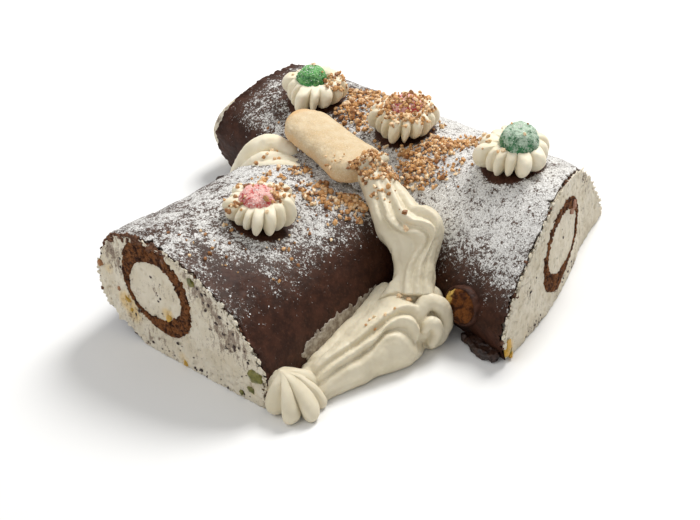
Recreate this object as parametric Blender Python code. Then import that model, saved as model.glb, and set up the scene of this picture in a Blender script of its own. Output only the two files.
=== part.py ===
"""Yule log cake: a long log with a branch log set against its front wall.

Each log is a roulade lying on a flat foot: a chocolate coat wrapped over cream, a rolled
sponge tube running through the cream and a cream core inside the tube. Piped cream fills
the joint and the branch's foot, a ladyfinger lies over the joint, and four piped rosettes
each carry a sugared jelly sweet.

The work plane is the table at z = 0. Section sizes are millimetres in a log's end plane
(s along the face from its front foot, z up); everything is scaled to metres when built.
"""

import math

import bmesh
import bpy
import numpy as np
from mathutils import Vector
from mathutils.bvhtree import BVHTree

for leftover in list(bpy.data.objects):
    bpy.data.objects.remove(leftover, do_unlink=True)

# ---------------------------------------------------------------- driving dimensions (mm)
COAT_THICK = 2.6        # chocolate coat
GAP = 0.35              # clearance between touching pieces
HOLE_ROOM = 0.5         # the cream's hole is this much larger, as its outline has flat facets
ARCH_POINTS = 21        # points over a log's arch
FLOOR_POINTS = 7        # points along a log's flat foot
TUBE_POINTS = 18        # points round a sponge tube
LOG_STATIONS = 7        # sections along a log
ROSETTE_RADIUS = 20.0
ROSETTE_HEIGHT = 15.0
ROSETTE_FLUTES = 12
SWEET_SUNK = 4.5        # depth of a sweet's foot in its rosette
FINGER_LENGTH = 77.0
FINGER_WIDTH = 31.0
FINGER_THICK = 15.0
ROPE_FLUTES = 7

# A section is read from the front foot over the ridge to the back foot.
MAIN_RIGHT = dict(
    foot=(79.0, -107.0), bearing=63.0,
    foot_front=(0, 0), wall_front=(-4, 18), shoulder_front=(4, 33), slope_front=(26, 54),
    ridge=(60, 71), shoulder_back=(106, 56), wall_back=(134, 25), foot_back=(147, 0),
)
MAIN_LEFT = dict(
    foot=(-69.5, 83.0), bearing=46.0,
    foot_front=(0, 0), wall_front=(-6, 24), shoulder_front=(0, 39), slope_front=(13, 46),
    ridge=(33, 49), shoulder_back=(60, 43), wall_back=(84, 22), foot_back=(90, 0),
)
BRANCH_FACE = dict(
    foot=(-105.8, -85.7), bearing=-42.1,
    foot_front=(-13, 0), wall_front=(-40, 22), shoulder_front=(-33, 59), slope_front=(-20, 68),
    ridge=(-1, 72), shoulder_back=(48, 59), wall_back=(77, 28), foot_back=(80, 0),
)
BRANCH_REAR = dict(
    foot=(-48.0, 42.5), bearing=-52.0,
    foot_front=(0, 0), wall_front=(-4, 18), shoulder_front=(5, 39), slope_front=(23, 51),
    ridge=(52, 60), shoulder_back=(98, 52), wall_back=(119, 26), foot_back=(122, 0),
)
KEYS = ("foot_front", "wall_front", "shoulder_front", "slope_front",
        "ridge", "shoulder_back", "wall_back", "foot_back")

# The sponge tube: centre in the section, half width and height outside, wall at the
# top, bottom and sides.
MAIN_RIGHT_TUBE = dict(centre=(71, 33), half=(30, 24), wall=(5.0, 7.0, 4.5))
MAIN_LEFT_TUBE = dict(centre=(43, 24), half=(20, 16), wall=(5.0, 6.0, 4.0))
BRANCH_FACE_TUBE = dict(centre=(4.5, 42), half=(24.5, 25.5), wall=(8.0, 8.0, 5.5))
BRANCH_REAR_TUBE = dict(centre=(56, 31), half=(24, 22), wall=(6.0, 8.0, 5.0))

MAIN_FACE_BULGE = 5.0       # the cut face of the long log swells outwards
MAIN_CREAM_OUT = 9.5        # cream swells out of the hidden end by this much at half of
END_LEVEL = 47.0            # this height, and by nothing at the table and at its top

# Rosettes: name, place on the table plan, turn in degrees, size factor, then the sweet's
# name, its offset from the rosette's middle, radius and height.
ROSETTES = (
    ("rosette_green_left", (-16.5, 71.0), 10.0, 0.94, "candy_green_left", (-2.0, -1.0), 8.8, 12.0),
    ("rosette_pink", (33.5, 28.5), 35.0, 0.98, "candy_pink", (0.5, 1.0), 9.5, 10.0),
    ("rosette_green_right", (89.5, -24.0), 0.0, 1.00, "candy_green_right", (3.0, -2.0), 10.6, 15.5),
    ("rosette_red", (-47.0, -57.5), 20.0, 0.94, "candy_red", (-1.0, -1.0), 10.4, 10.0),
)
# Shares of radius and height up a rosette: narrow foot, full middle, closing top.
ROSETTE_PROFILE = ((0.62, 0.0), (0.84, 0.18), (1.0, 0.48), (0.92, 0.80), (0.62, 1.0))
SWEET_PROFILE = ((0.86, 0.0), (1.0, 0.22), (0.94, 0.52), (0.70, 0.82), (0.34, 0.97))
STAR_PROFILE = ((0.86, 0.0), (1.0, 0.16), (0.95, 0.38), (0.74, 0.62), (0.42, 0.84), (0.12, 0.98))

FINGER_CENTRE = (-6.5, -2.5, 69.5)      # ladyfinger over the joint
FINGER_BEARING = -54.0
FINGER_ROLL = 7.0                       # its far side leans down onto the long log

# Centre lines and radii of the piped cream.
CREAM_BACK = ((-58, 32, 38), (-50, 24, 46), (-40, 15, 51), (-30, 6, 53), (-20, 3, 53))
CREAM_BACK_R = (8, 12, 13, 13, 10)
CREAM_FRONT = ((-4, -10, 52), (5, -17, 54), (13, -27, 56), (21, -38, 56), (29, -48, 54),
               (34, -57, 50), (34, -65, 43), (30, -71, 35), (26, -76, 27), (24, -80, 20))
CREAM_FRONT_R = (9, 10, 11, 12, 14, 14, 13, 12, 12, 10)
CREAM_BASE = ((-27, -129, 13), (-14, -118, 13), (0, -106, 14), (14, -96, 15), (28, -87, 16),
              (40, -79, 15), (47, -70, 12))
CREAM_BASE_R = (12, 13, 13, 14, 15, 14, 8)
STAR_PLACE = (-30.0, -136.0)
STAR_RADIUS = 16.8
STAR_HEIGHT = 24.0
STAR_LEAN = (-9.0, -1.0)

KNOT_PLACE = (58.0, -85.0, 21.0)        # sponge stub on the front wall
KNOT_AXIS = (-0.74, -0.62, 0.26)
KNOT_RADIUS = 10.5
KNOT_OUT = 5.0
SHARD_PLACE = (66.0, -98.0, 0.0)        # broken coat lying at the front foot
SHARD_SIZE = (29.0, 8.0, 7.0)
SHARD_BEARING = -52.0

COLOURS = {
    "coat": ((0.050, 0.022, 0.014), 0.55),
    "cream": ((0.80, 0.76, 0.66), 0.60),
    "sponge": ((0.22, 0.095, 0.035), 0.80),
    "biscuit": ((0.72, 0.50, 0.26), 0.80),
    "green": ((0.05, 0.30, 0.12), 0.40),
    "pink": ((0.75, 0.16, 0.16), 0.45),
    "dark": ((0.030, 0.014, 0.010), 0.45),
}


def material(name):
    """One Principled material for a piece."""
    colour, rough = COLOURS[name]
    made = bpy.data.materials.new(name)
    made.use_nodes = True
    shader = made.node_tree.nodes["Principled BSDF"]
    shader.inputs["Base Color"].default_value = (*colour, 1.0)
    shader.inputs["Roughness"].default_value = rough
    shader.inputs["Metallic"].default_value = 0.0
    return made


# ---------------------------------------------------------------- curves
def catmull(keys, per_span=12, closed=False):
    """Points of a centripetal curve through the keys."""
    keys = np.asarray(keys, float)
    n = len(keys)
    out = []
    spans = n if closed else n - 1
    for i in range(spans):
        if closed:
            p = [keys[(i + k) % n] for k in (-1, 0, 1, 2)]
        else:
            p1, p2 = keys[i], keys[i + 1]
            p0 = keys[i - 1] if i else 2 * p1 - p2
            p3 = keys[i + 2] if i + 2 < n else 2 * p2 - p1
            p = [p0, p1, p2, p3]
        t = [0.0]
        for a, b in zip(p, p[1:]):
            t.append(t[-1] + max(np.linalg.norm(b - a), 1e-6) ** 0.5)
        for k in range(per_span):
            u = t[1] + (t[2] - t[1]) * k / per_span
            a1 = (t[1] - u) / (t[1] - t[0]) * p[0] + (u - t[0]) / (t[1] - t[0]) * p[1]
            a2 = (t[2] - u) / (t[2] - t[1]) * p[1] + (u - t[1]) / (t[2] - t[1]) * p[2]
            a3 = (t[3] - u) / (t[3] - t[2]) * p[2] + (u - t[2]) / (t[3] - t[2]) * p[3]
            b1 = (t[2] - u) / (t[2] - t[0]) * a1 + (u - t[0]) / (t[2] - t[0]) * a2
            b2 = (t[3] - u) / (t[3] - t[1]) * a2 + (u - t[1]) / (t[3] - t[1]) * a3
            out.append((t[2] - u) / (t[2] - t[1]) * b1 + (u - t[1]) / (t[2] - t[1]) * b2)
    if not closed:
        out.append(keys[-1])
    return np.array(out)


def even(points, n, closed=False):
    """n points at equal steps of length along a curve."""
    points = np.asarray(points, float)
    if closed:
        points = np.vstack([points, points[:1]])
    run = np.concatenate([[0], np.cumsum(np.linalg.norm(np.diff(points, axis=0), axis=1))])
    want = np.linspace(0, run[-1], n + 1)[:-1] if closed else np.linspace(0, run[-1], n)
    return np.column_stack([np.interp(want, run, points[:, k]) for k in range(points.shape[1])])


def arch(section, n=ARCH_POINTS):
    """The log's outer outline over its top, front foot to back foot."""
    return even(catmull([section[k] for k in KEYS]), n)


def inset(line, by, n=ARCH_POINTS):
    """An arch moved inwards and trimmed to the table again."""
    line = even(line, 161)
    tangent = np.gradient(line, axis=0)
    tangent /= np.linalg.norm(tangent, axis=1)[:, None]
    inner = line + by * np.column_stack([tangent[:, 1], -tangent[:, 0]])
    first, last = 0, len(inner) - 1
    while inner[first, 1] <= 0.01 or inner[first + 1, 1] <= inner[first, 1]:
        first += 1
    while inner[last, 1] <= 0.01 or inner[last - 1, 1] <= inner[last, 1]:
        last -= 1

    def foot(a, b):
        return a + (b - a) * (-a[1]) / (b[1] - a[1])

    start = foot(inner[first], inner[first + 1])
    end = foot(inner[last], inner[last - 1])
    return even(np.vstack([start, inner[first:last + 1], end]), n)


def tube_ring(tube, n, shrink=0.0, inside=False):
    """The tube's outline, starting at its front side and going over the top."""
    cx, cz = tube["centre"]
    w, h = tube["half"]
    top, bottom, side = tube["wall"] if inside else (0, 0, 0)
    out = []
    for k in range(n):
        a = math.pi - 2 * math.pi * k / n
        lift = top if math.sin(a) > 0 else bottom
        out.append((cx + (w - side - shrink) * math.cos(a),
                    cz + (h - lift * abs(math.sin(a)) - shrink) * math.sin(a)))
    return np.array(out)


def blended(a, b, t):
    """A section or tube part way between two named ones."""
    out = {}
    for key in a:
        if key == "bearing":
            out[key] = a[key] + (b[key] - a[key]) * t
        else:
            out[key] = tuple(np.asarray(a[key], float) * (1 - t) + np.asarray(b[key], float) * t)
    return out


def to_space(outline, section, out=0.0, bulge=0.0, span=110.0):
    """Section points to table space. out moves them along the end plane's outward normal."""
    b = math.radians(section["bearing"])
    ds = outline[:, 0]
    push = out + bulge * np.sin(np.pi * np.clip(ds / span, 0, 1))
    x = section["foot"][0] + ds * math.cos(b) + push * math.sin(b)
    y = section["foot"][1] + ds * math.sin(b) - push * math.cos(b)
    return np.column_stack([x, y, outline[:, 1]])


# ---------------------------------------------------------------- mesh makers
def strip(bm, a, b, closed=True):
    """Triangles between two rings, always split along the same diagonal, so that nested
    surfaces stay parallel."""
    n = len(a)
    for i in range(n if closed else n - 1):
        j = (i + 1) % n
        bm.faces.new((a[i], a[j], b[j]))
        bm.faces.new((a[i], b[j], b[i]))


def finished(bm, name, colour, smooth=True):
    bmesh.ops.recalc_face_normals(bm, faces=bm.faces)
    if bm.calc_volume(signed=True) < 0:
        bmesh.ops.reverse_faces(bm, faces=bm.faces)
    mesh = bpy.data.meshes.new(name)
    bm.to_mesh(mesh)
    bm.free()
    if smooth:
        mesh.shade_smooth()
        mesh.set_sharp_from_angle(angle=math.radians(50))
    made = bpy.data.objects.new(name, mesh)
    bpy.context.scene.collection.objects.link(made)
    if colour:
        mesh.materials.append(material_for(colour))
    return made


def make(name, rings, colour, partner=None, smooth=True):
    """A closed body from rings of equal length. With a partner it is a wall between two
    sets of rings, closed at both ends by the strip between them."""
    bm = bmesh.new()

    def add(sets):
        return [[bm.verts.new(Vector(p) * 0.001) for p in ring] for ring in sets]

    outer = add(rings)
    for a, b in zip(outer, outer[1:]):
        strip(bm, a, b)
    if partner is None:
        for ring in (outer[0], outer[-1]):
            hub = bm.verts.new(sum((v.co for v in ring), Vector()) / len(ring))
            for i in range(len(ring)):
                bm.faces.new((ring[i], ring[(i + 1) % len(ring)], hub))
    else:
        inner = add(partner)
        for a, b in zip(inner, inner[1:]):
            strip(bm, a, b)
        strip(bm, outer[0], inner[0])
        strip(bm, outer[-1], inner[-1])
    return finished(bm, name, colour, smooth)


_made = {}


def material_for(name):
    if name not in _made:
        _made[name] = material(name)
    return _made[name]


def wavy(t):
    """The log's ridge isn't level: a slow rise and dip along it."""
    return 1.0 + 0.018 * math.sin(7.0 * t + 0.6)


def swollen(ring, behind, out):
    """An end ring carried on along the log's own lines, most at half of END_LEVEL."""
    run = ring - behind
    run /= np.linalg.norm(run, axis=1)[:, None]
    low = np.sin(np.pi * np.clip(ring[:, 2] / END_LEVEL, 0, 1)) ** 0.8
    return ring + run * (out * low)[:, None]


def log_parts(name, near, far, near_tube, far_tube, near_out, far_out, far_bulge):
    """The four nested bodies of one log, and its outline as a cutter."""
    steps = [k / (LOG_STATIONS - 1) for k in range(LOG_STATIONS)]
    sets = {k: [] for k in ("coat_o", "coat_i", "cream_o", "cream_i", "tube_o", "tube_i", "core", "cut")}
    total = ARCH_POINTS + FLOOR_POINTS
    for t in steps:
        section = blended(near, far, t)
        tube = blended(near_tube, far_tube, t)
        line = arch(section)
        line[:, 1] *= wavy(t) if 0 < t < 1 else 1.0
        ends = {"coat": 0.0, "cream": 0.0}
        bulge = 0.0
        if t == 0:
            ends = {"coat": 0.0, "cream": -0.6 if near_out else 0.0}
        if t == 1:
            ends = {"coat": 0.0, "cream": far_out}
            bulge = far_bulge
        inner = inset(line, COAT_THICK)
        filled = inset(line, COAT_THICK + GAP)
        floor = np.column_stack([
            np.linspace(filled[-1, 0], filled[0, 0], FLOOR_POINTS + 2)[1:-1],
            np.zeros(FLOOR_POINTS)])
        whole = np.vstack([filled, floor])
        # the hole's points are matched to the outline by their direction from its centre
        hole = tube_ring(tube, 240, -HOLE_ROOM)
        centre = np.array(tube["centre"])
        want = np.arctan2(whole[:, 1] - centre[1], whole[:, 0] - centre[0])
        have = np.arctan2(hole[:, 1] - centre[1], hole[:, 0] - centre[0])
        hole = np.array([hole[np.argmin(np.abs(np.angle(np.exp(1j * (have - w)))))] for w in want])
        place = lambda pts, what: to_space(pts, section, ends[what], bulge)
        sets["coat_o"].append(place(line, "coat"))
        sets["coat_i"].append(place(inner, "coat"))
        sets["cream_o"].append(place(whole, "cream"))
        sets["cream_i"].append(place(hole, "cream"))
        sets["tube_o"].append(place(tube_ring(tube, TUBE_POINTS, GAP), "cream"))
        sets["tube_i"].append(place(tube_ring(tube, TUBE_POINTS, 0.0, True), "cream"))
        sets["core"].append(place(tube_ring(tube, TUBE_POINTS, GAP, True), "cream"))
        out = {0: -0.5, 1: 0.5}.get(t, 0.0)
        cut = inset(line, -GAP)
        cut[[0, -1], 1] = -3.0
        sets["cut"].append(to_space(cut, section, ends["cream"] + out, bulge))
    if near_out:
        for what in ("cream_o", "cream_i", "tube_o", "tube_i", "core", "cut"):
            sets[what][0] = swollen(sets[what][0], sets[what][1], near_out)
    coat = coat_body(name + "_coat", sets["coat_o"], sets["coat_i"])
    cream = make(name + "_cream", sets["cream_o"], "cream", partner=sets["cream_i"])
    sponge = make(name + "_sponge", sets["tube_o"], "sponge", partner=sets["tube_i"])
    core = make(name + "_core", sets["core"], "cream")
    cutter = make(name + "_outline", sets["cut"], None)
    cutter.hide_render = True
    cutter.display_type = "WIRE"
    return coat, cream, sponge, core, cutter


def coat_body(name, outside, inside):
    """The arch-shaped shell: both skins, the two feet and the two cut ends."""
    bm = bmesh.new()
    outer = [[bm.verts.new(Vector(p) * 0.001) for p in ring] for ring in outside]
    inner = [[bm.verts.new(Vector(p) * 0.001) for p in ring] for ring in inside]
    for a, b in zip(outer, outer[1:]):
        strip(bm, a, b, closed=False)
    for a, b in zip(inner, inner[1:]):
        strip(bm, a, b, closed=False)
    for end in (0, -1):
        strip(bm, outer[end], inner[end], closed=False)
        for k in range(len(outer) - 1):
            bm.faces.new((outer[k][end], outer[k + 1][end], inner[k + 1][end], inner[k][end]))
    return finished(bm, name, "coat")


def rope(name, path, radii, flutes=ROPE_FLUTES, depth=0.16, turns=0.6, stations=22, squash=1.0):
    """Piped cream: a fluted section swept along a path, swelling and thinning with radii."""
    line = even(catmull(path), stations)
    radius = np.interp(np.linspace(0, 1, stations), np.linspace(0, 1, len(radii)), radii)
    rings = []
    for k, (p, r) in enumerate(zip(line, radius)):
        ahead = line[min(k + 1, stations - 1)] - line[max(k - 1, 0)]
        ahead /= np.linalg.norm(ahead)
        side = np.cross(ahead, (0, 0, 1.0))
        side /= np.linalg.norm(side)
        up = np.cross(side, ahead)
        twist = 2 * math.pi * turns * k / (stations - 1)
        ring = []
        for i in range(2 * flutes):
            a = math.pi * i / flutes + twist
            reach = r * (1 + depth * (1 if i % 2 == 0 else -1) * 0.5)
            ring.append(p + reach * (math.cos(a) * side + squash * math.sin(a) * up))
        rings.append(ring)
    return make(name, rings, "cream")


def dome(name, centre, radius, height, colour, around, profile, turn=0.0, flutes=0, depth=0.0, lean=(0, 0)):
    """A turned or fluted mound. profile is pairs of (share of radius, share of height),
    from the bottom edge to the rim of its top."""
    rings = []
    for share, up in profile:
        ring = []
        for i in range(around):
            a = 2 * math.pi * i / around
            r = radius * share
            if flutes:
                r *= 1 + depth * (0.5 if (i * 2 * flutes // around) % 2 == 0 else -0.5) * (1 - 0.5 * up)
            a += math.radians(turn) + 0.35 * up * (1 if flutes else 0)
            ring.append((centre[0] + r * math.cos(a) + lean[0] * up,
                         centre[1] + r * math.sin(a) + lean[1] * up,
                         centre[2] + height * up))
        rings.append(ring)
    return make(name, rings, colour)


def cut_by(target, *cutters):
    """Takes the cutters' volume out of a piece, so that it sits against them."""
    for cutter in cutters:
        modifier = target.modifiers.new("clear_" + cutter.name, "BOOLEAN")
        modifier.operation = "DIFFERENCE"
        modifier.solver = "EXACT"
        modifier.use_self = True
        modifier.object = cutter


def helper(made):
    made.hide_render = True
    made.display_type = "WIRE"
    return made


# ---------------------------------------------------------------- the two logs
main = log_parts("main", MAIN_LEFT, MAIN_RIGHT, MAIN_LEFT_TUBE, MAIN_RIGHT_TUBE,
                 MAIN_CREAM_OUT, 0.6, MAIN_FACE_BULGE)
branch = log_parts("branch", BRANCH_REAR, BRANCH_FACE, BRANCH_REAR_TUBE, BRANCH_FACE_TUBE,
                   0.0, 0.6, 0.0)


# ---------------------------------------------------------------- standing on a surface
def surface_tree(made):
    """A tree of a log coat's faces, for dropping points onto it."""
    bm = bmesh.new()
    bm.from_mesh(made.data)
    tree = BVHTree.FromBMesh(bm)
    bm.free()
    return tree


TREES = {"main": surface_tree(main[0]), "branch": surface_tree(branch[0])}


def height_at(x, y):
    """Height in mm of the highest log under a plan point, or 0 on the table."""
    best = 0.0
    for tree in TREES.values():
        hit = tree.ray_cast(Vector((x, y, 200.0)) * 0.001, Vector((0, 0, -1)))
        if hit[0] is not None:
            best = max(best, hit[0].z * 1000)
    return best


def settled(made, centre, lift):
    """Drops the lowest ring of a mound onto the logs, keeping the gap, and lets the rings
    above follow less and less."""
    mesh = made.data
    zs = np.array([v.co.z for v in mesh.vertices]) * 1000
    low, high = zs.min(), zs.max()
    middle = height_at(*centre)
    for v in mesh.vertices:
        share = 1 - (v.co.z * 1000 - low) / (high - low)
        drop = height_at(v.co.x * 1000, v.co.y * 1000) - middle
        v.co.z += drop * share ** 1.5 * 0.001
        if share > 0.999:
            v.co.z = max(v.co.z, (height_at(v.co.x * 1000, v.co.y * 1000) + lift) * 0.001)


def bar(name, length, width, thick, centre, bearing, roll, colour, grow=0.0):
    """A ladyfinger: a flat-bottomed bar with round ends, crowned on top."""
    rings = []
    half_l, half_w, half_t = length / 2 + grow, width / 2 + grow, thick / 2 + grow
    stations = 13
    for k in range(stations):
        a = math.pi * (k + 0.5) / stations
        along = -math.cos(a) * half_l
        reach = max(0.0, abs(along) - (half_l - half_w))
        w = math.sqrt(max(half_w ** 2 - reach ** 2, (0.18 * half_w) ** 2))
        w *= 1 - 0.05 * math.cos(2 * math.pi * along / length)
        t = half_t * (0.45 + 0.55 * (w / half_w))
        ring = []
        for i in range(14):
            q = 2 * math.pi * i / 14
            x = w * math.copysign(abs(math.cos(q)) ** 0.75, math.cos(q))
            z = t * math.copysign(abs(math.sin(q)) ** (0.9 if math.sin(q) > 0 else 0.6), math.sin(q))
            r = math.radians(roll)
            ring.append((along, x * math.cos(r) - z * math.sin(r), x * math.sin(r) + z * math.cos(r)))
        rings.append(ring)
    b = math.radians(bearing)
    c, s = math.cos(b), math.sin(b)
    rings = [[(centre[0] + p[0] * c - p[1] * s, centre[1] + p[0] * s + p[1] * c, centre[2] + p[2])
              for p in ring] for ring in rings]
    return make(name, rings, colour)


# ---------------------------------------------------------------- ladyfinger and piped cream
finger = bar("ladyfinger", FINGER_LENGTH, FINGER_WIDTH, FINGER_THICK, FINGER_CENTRE,
             FINGER_BEARING, -FINGER_ROLL, "biscuit")
finger_cut = helper(bar("ladyfinger_outline", FINGER_LENGTH, FINGER_WIDTH, FINGER_THICK,
                        FINGER_CENTRE, FINGER_BEARING, -FINGER_ROLL, None, grow=GAP))


def grounded(made):
    """Cream that would pass below the table lies flat on it."""
    for v in made.data.vertices:
        v.co.z = max(v.co.z, 0.0)


def star(name, grow=0.0, colour="cream"):
    return dome(name, (*STAR_PLACE, 0.0), STAR_RADIUS + grow, STAR_HEIGHT + grow, colour, 32,
                STAR_PROFILE, turn=8, flutes=8, depth=0.26, lean=STAR_LEAN)


def stub(name, grow, colour):
    """The round sponge stub in the long log's front wall."""
    axis = Vector(KNOT_AXIS).normalized()
    side = axis.cross(Vector((0, 0, 1))).normalized()
    rise = side.cross(axis)
    rings = []
    for out, share in ((-9.0, 0.95), (KNOT_OUT * 0.6 + grow, 1.0), (KNOT_OUT + grow, 0.9)):
        ring = []
        for i in range(18):
            a = 2 * math.pi * i / 18
            r = (KNOT_RADIUS * share + grow) * (1 + 0.05 * math.cos(2 * a + 0.7))
            ring.append(Vector(KNOT_PLACE) + out * axis
                        + r * (math.cos(a) * side + math.sin(a) * rise))
        rings.append(ring)
    return make(name, rings, colour)


knot = stub("knot_biscuit", 0.0, "biscuit")
knot_cut = helper(stub("knot_outline", 0.4, None))
cut_by(knot, main[4])

cream_star = star("cream_star")
star_cut = helper(star("cream_star_outline", grow=0.5, colour=None))
for v in star_cut.data.vertices:
    v.co.z -= 0.001 if v.co.z < 0.0001 else 0.0
cream_base = rope("cream_base", CREAM_BASE, CREAM_BASE_R, turns=0.7, stations=24)
grounded(cream_base)
base_cut = helper(rope("cream_base_outline", CREAM_BASE, [r + 0.5 for r in CREAM_BASE_R],
                       turns=0.7, stations=24))
cream_front = rope("cream_front", CREAM_FRONT, CREAM_FRONT_R, turns=0.8, stations=26)
cream_back = rope("cream_back", CREAM_BACK, CREAM_BACK_R, turns=0.4, stations=16)
cut_by(cream_star, branch[4])
cut_by(cream_base, branch[4], main[4], star_cut, knot_cut)
cut_by(cream_front, branch[4], main[4], base_cut, finger_cut)
cut_by(cream_back, branch[4], main[4], finger_cut)

# ---------------------------------------------------------------- rosettes and sweets
for rosette, place, turn, size, sweet, offset, radius, tall in ROSETTES:
    ground = height_at(*place)
    lift = 0.6
    mound = dome(rosette, (*place, ground + lift), ROSETTE_RADIUS * size, ROSETTE_HEIGHT * size,
                 "cream", 24, ROSETTE_PROFILE, turn=turn, flutes=ROSETTE_FLUTES, depth=0.17)
    settled(mound, place, lift)
    seat_z = ground + lift + ROSETTE_HEIGHT * size - SWEET_SUNK
    at = (place[0] + offset[0], place[1] + offset[1])
    dome(sweet, (*at, seat_z), radius, tall, "green" if "green" in sweet else "pink", 16,
         SWEET_PROFILE)
    seat = helper(dome(sweet + "_seat", (*at, seat_z - GAP), radius + GAP, tall + 3 * GAP, None,
                       16, SWEET_PROFILE))
    cut_by(mound, seat, (branch if rosette == "rosette_red" else main)[4])

# ---------------------------------------------------------------- shard
b = math.radians(SHARD_BEARING)
rings = []
for k in range(5):
    u = k / 4 - 0.5
    w = SHARD_SIZE[1] * (1 - 0.9 * u * u) * 0.5
    h = SHARD_SIZE[2] * (1 - 1.2 * u * u)
    ring = []
    for x, z in ((-w, 0), (w, 0), (w * 0.92, h * 0.55), (w * 0.3, h), (-w * 0.5, h * 0.85), (-w, h * 0.35)):
        along = u * SHARD_SIZE[0]
        ring.append((SHARD_PLACE[0] + along * math.cos(b) - x * math.sin(b),
                     SHARD_PLACE[1] + along * math.sin(b) + x * math.cos(b), z))
    rings.append(ring)
shard = make("chocolate_shard", rings, "dark", smooth=False)
cut_by(shard, main[4])

# ---------------------------------------------------------------- origin
# The finished cake stands with the middle of its bounding box's bottom at the origin.
bpy.context.view_layer.update()
graph = bpy.context.evaluated_depsgraph_get()
corners = []
for item in bpy.data.objects:
    if item.type == "MESH" and not item.hide_render:
        shown = item.evaluated_get(graph).to_mesh()
        corners += [tuple(v.co) for v in shown.vertices]
low, high = np.min(corners, axis=0), np.max(corners, axis=0)
SHIFT = (-(low[0] + high[0]) / 2, -(low[1] + high[1]) / 2, -low[2])
for mesh in {item.data for item in bpy.data.objects if item.type == "MESH"}:
    for v in mesh.vertices:
        v.co += Vector(SHIFT)
    mesh.update()
bpy.context.view_layer.update()
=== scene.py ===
import math

import bmesh
import bpy
import numpy as np
from mathutils import Matrix, Vector
from mathutils.bvhtree import BVHTree


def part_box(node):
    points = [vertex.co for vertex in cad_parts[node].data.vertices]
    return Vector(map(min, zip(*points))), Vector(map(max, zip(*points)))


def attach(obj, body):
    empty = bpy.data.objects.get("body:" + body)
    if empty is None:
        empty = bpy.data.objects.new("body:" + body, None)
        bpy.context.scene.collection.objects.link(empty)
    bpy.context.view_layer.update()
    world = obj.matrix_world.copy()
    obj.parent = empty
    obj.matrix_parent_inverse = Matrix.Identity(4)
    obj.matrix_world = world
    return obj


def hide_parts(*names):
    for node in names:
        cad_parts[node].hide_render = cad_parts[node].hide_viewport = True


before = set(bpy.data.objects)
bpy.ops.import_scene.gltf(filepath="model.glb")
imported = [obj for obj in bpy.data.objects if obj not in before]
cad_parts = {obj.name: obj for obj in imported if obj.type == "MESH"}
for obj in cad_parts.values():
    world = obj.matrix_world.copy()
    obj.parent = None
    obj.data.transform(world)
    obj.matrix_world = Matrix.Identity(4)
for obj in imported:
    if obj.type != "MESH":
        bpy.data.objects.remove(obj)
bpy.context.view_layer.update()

# ---------------------------------------------------------------- the cake's own plan, in mm
# A section is read in a log's end plane (s along the face from its front foot, z up).
KEYS = ("foot_front", "wall_front", "shoulder_front", "slope_front",
        "ridge", "shoulder_back", "wall_back", "foot_back")
MAIN_RIGHT = dict(
    foot=(79.0, -107.0), bearing=63.0,
    foot_front=(0, 0), wall_front=(-4, 18), shoulder_front=(4, 33), slope_front=(26, 54),
    ridge=(60, 71), shoulder_back=(106, 56), wall_back=(134, 25), foot_back=(147, 0))
MAIN_LEFT = dict(
    foot=(-69.5, 83.0), bearing=46.0,
    foot_front=(0, 0), wall_front=(-6, 24), shoulder_front=(0, 39), slope_front=(13, 46),
    ridge=(33, 49), shoulder_back=(60, 43), wall_back=(84, 22), foot_back=(90, 0))
BRANCH_FACE = dict(
    foot=(-105.8, -85.7), bearing=-42.1,
    foot_front=(-13, 0), wall_front=(-40, 22), shoulder_front=(-33, 59), slope_front=(-20, 68),
    ridge=(-1, 72), shoulder_back=(48, 59), wall_back=(77, 28), foot_back=(80, 0))
BRANCH_REAR = dict(
    foot=(-48.0, 42.5), bearing=-52.0,
    foot_front=(0, 0), wall_front=(-4, 18), shoulder_front=(5, 39), slope_front=(23, 51),
    ridge=(52, 60), shoulder_back=(98, 52), wall_back=(119, 26), foot_back=(122, 0))
COAT = 2.6

# Sponge tubes: centre, then the outer and inner radius every 20 degrees from +s, upwards.
MAIN_RIGHT_TUBE = ((71, 33),
                   (25.5, 24.5, 24.5, 24.0, 24.0, 25.4, 28.2, 31.0, 30.5, 30.4, 31.7, 31.0, 28.7, 24.0, 20.5, 20.9, 24.0, 26.0),
                   (22.6, 20.0, 16.7, 16.2, 17.6, 19.6, 22.3, 25.4, 26.3, 26.2, 23.2, 19.8, 18.1, 17.0, 16.2, 17.6, 21.0, 23.3))
BRANCH_FACE_TUBE = ((4.5, 42),
                    (23.7, 24.0, 24.7, 26.0, 26.8, 27.6, 30.3, 29.6, 26.0, 24.4, 23.6, 23.6, 23.3, 24.6, 27.0, 28.1, 26.9, 24.8),
                    (17.6, 17.0, 16.7, 17.2, 17.9, 17.4, 17.4, 18.5, 18.9, 20.2, 21.6, 21.9, 20.4, 18.6, 17.6, 17.0, 17.1, 17.9))
MAIN_LEFT_TUBE = ((43, 24),
                  (20, 19.6, 18.5, 17.2, 16.2, 16.2, 17.2, 18.5, 19.6, 20, 19.6, 18.5, 17.2, 16.2, 16.2, 17.2, 18.5, 19.6),
                  (16, 15.4, 14.1, 12.6, 11.3, 11.2, 12.5, 14.2, 15.6, 16, 15.4, 13.8, 12.0, 10.4, 10.2, 11.6, 13.7, 15.4))
BRANCH_REAR_TUBE = ((56, 31),
                    (24, 23.8, 23.2, 22.6, 22.1, 22.1, 22.6, 23.2, 23.8, 24, 23.8, 23.2, 22.6, 22.1, 22.1, 22.6, 23.2, 23.8),
                    (19, 18.6, 17.8, 16.8, 16.2, 16.2, 16.8, 17.8, 18.6, 19, 18.2, 17.0, 15.4, 14.3, 14.3, 15.4, 17.0, 18.4))

LOW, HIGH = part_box("candy_green_right")
SHIFT = np.array([(LOW.x + HIGH.x) * 500 - 92.5, (LOW.y + HIGH.y) * 500 + 26.0, 0.0])


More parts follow.
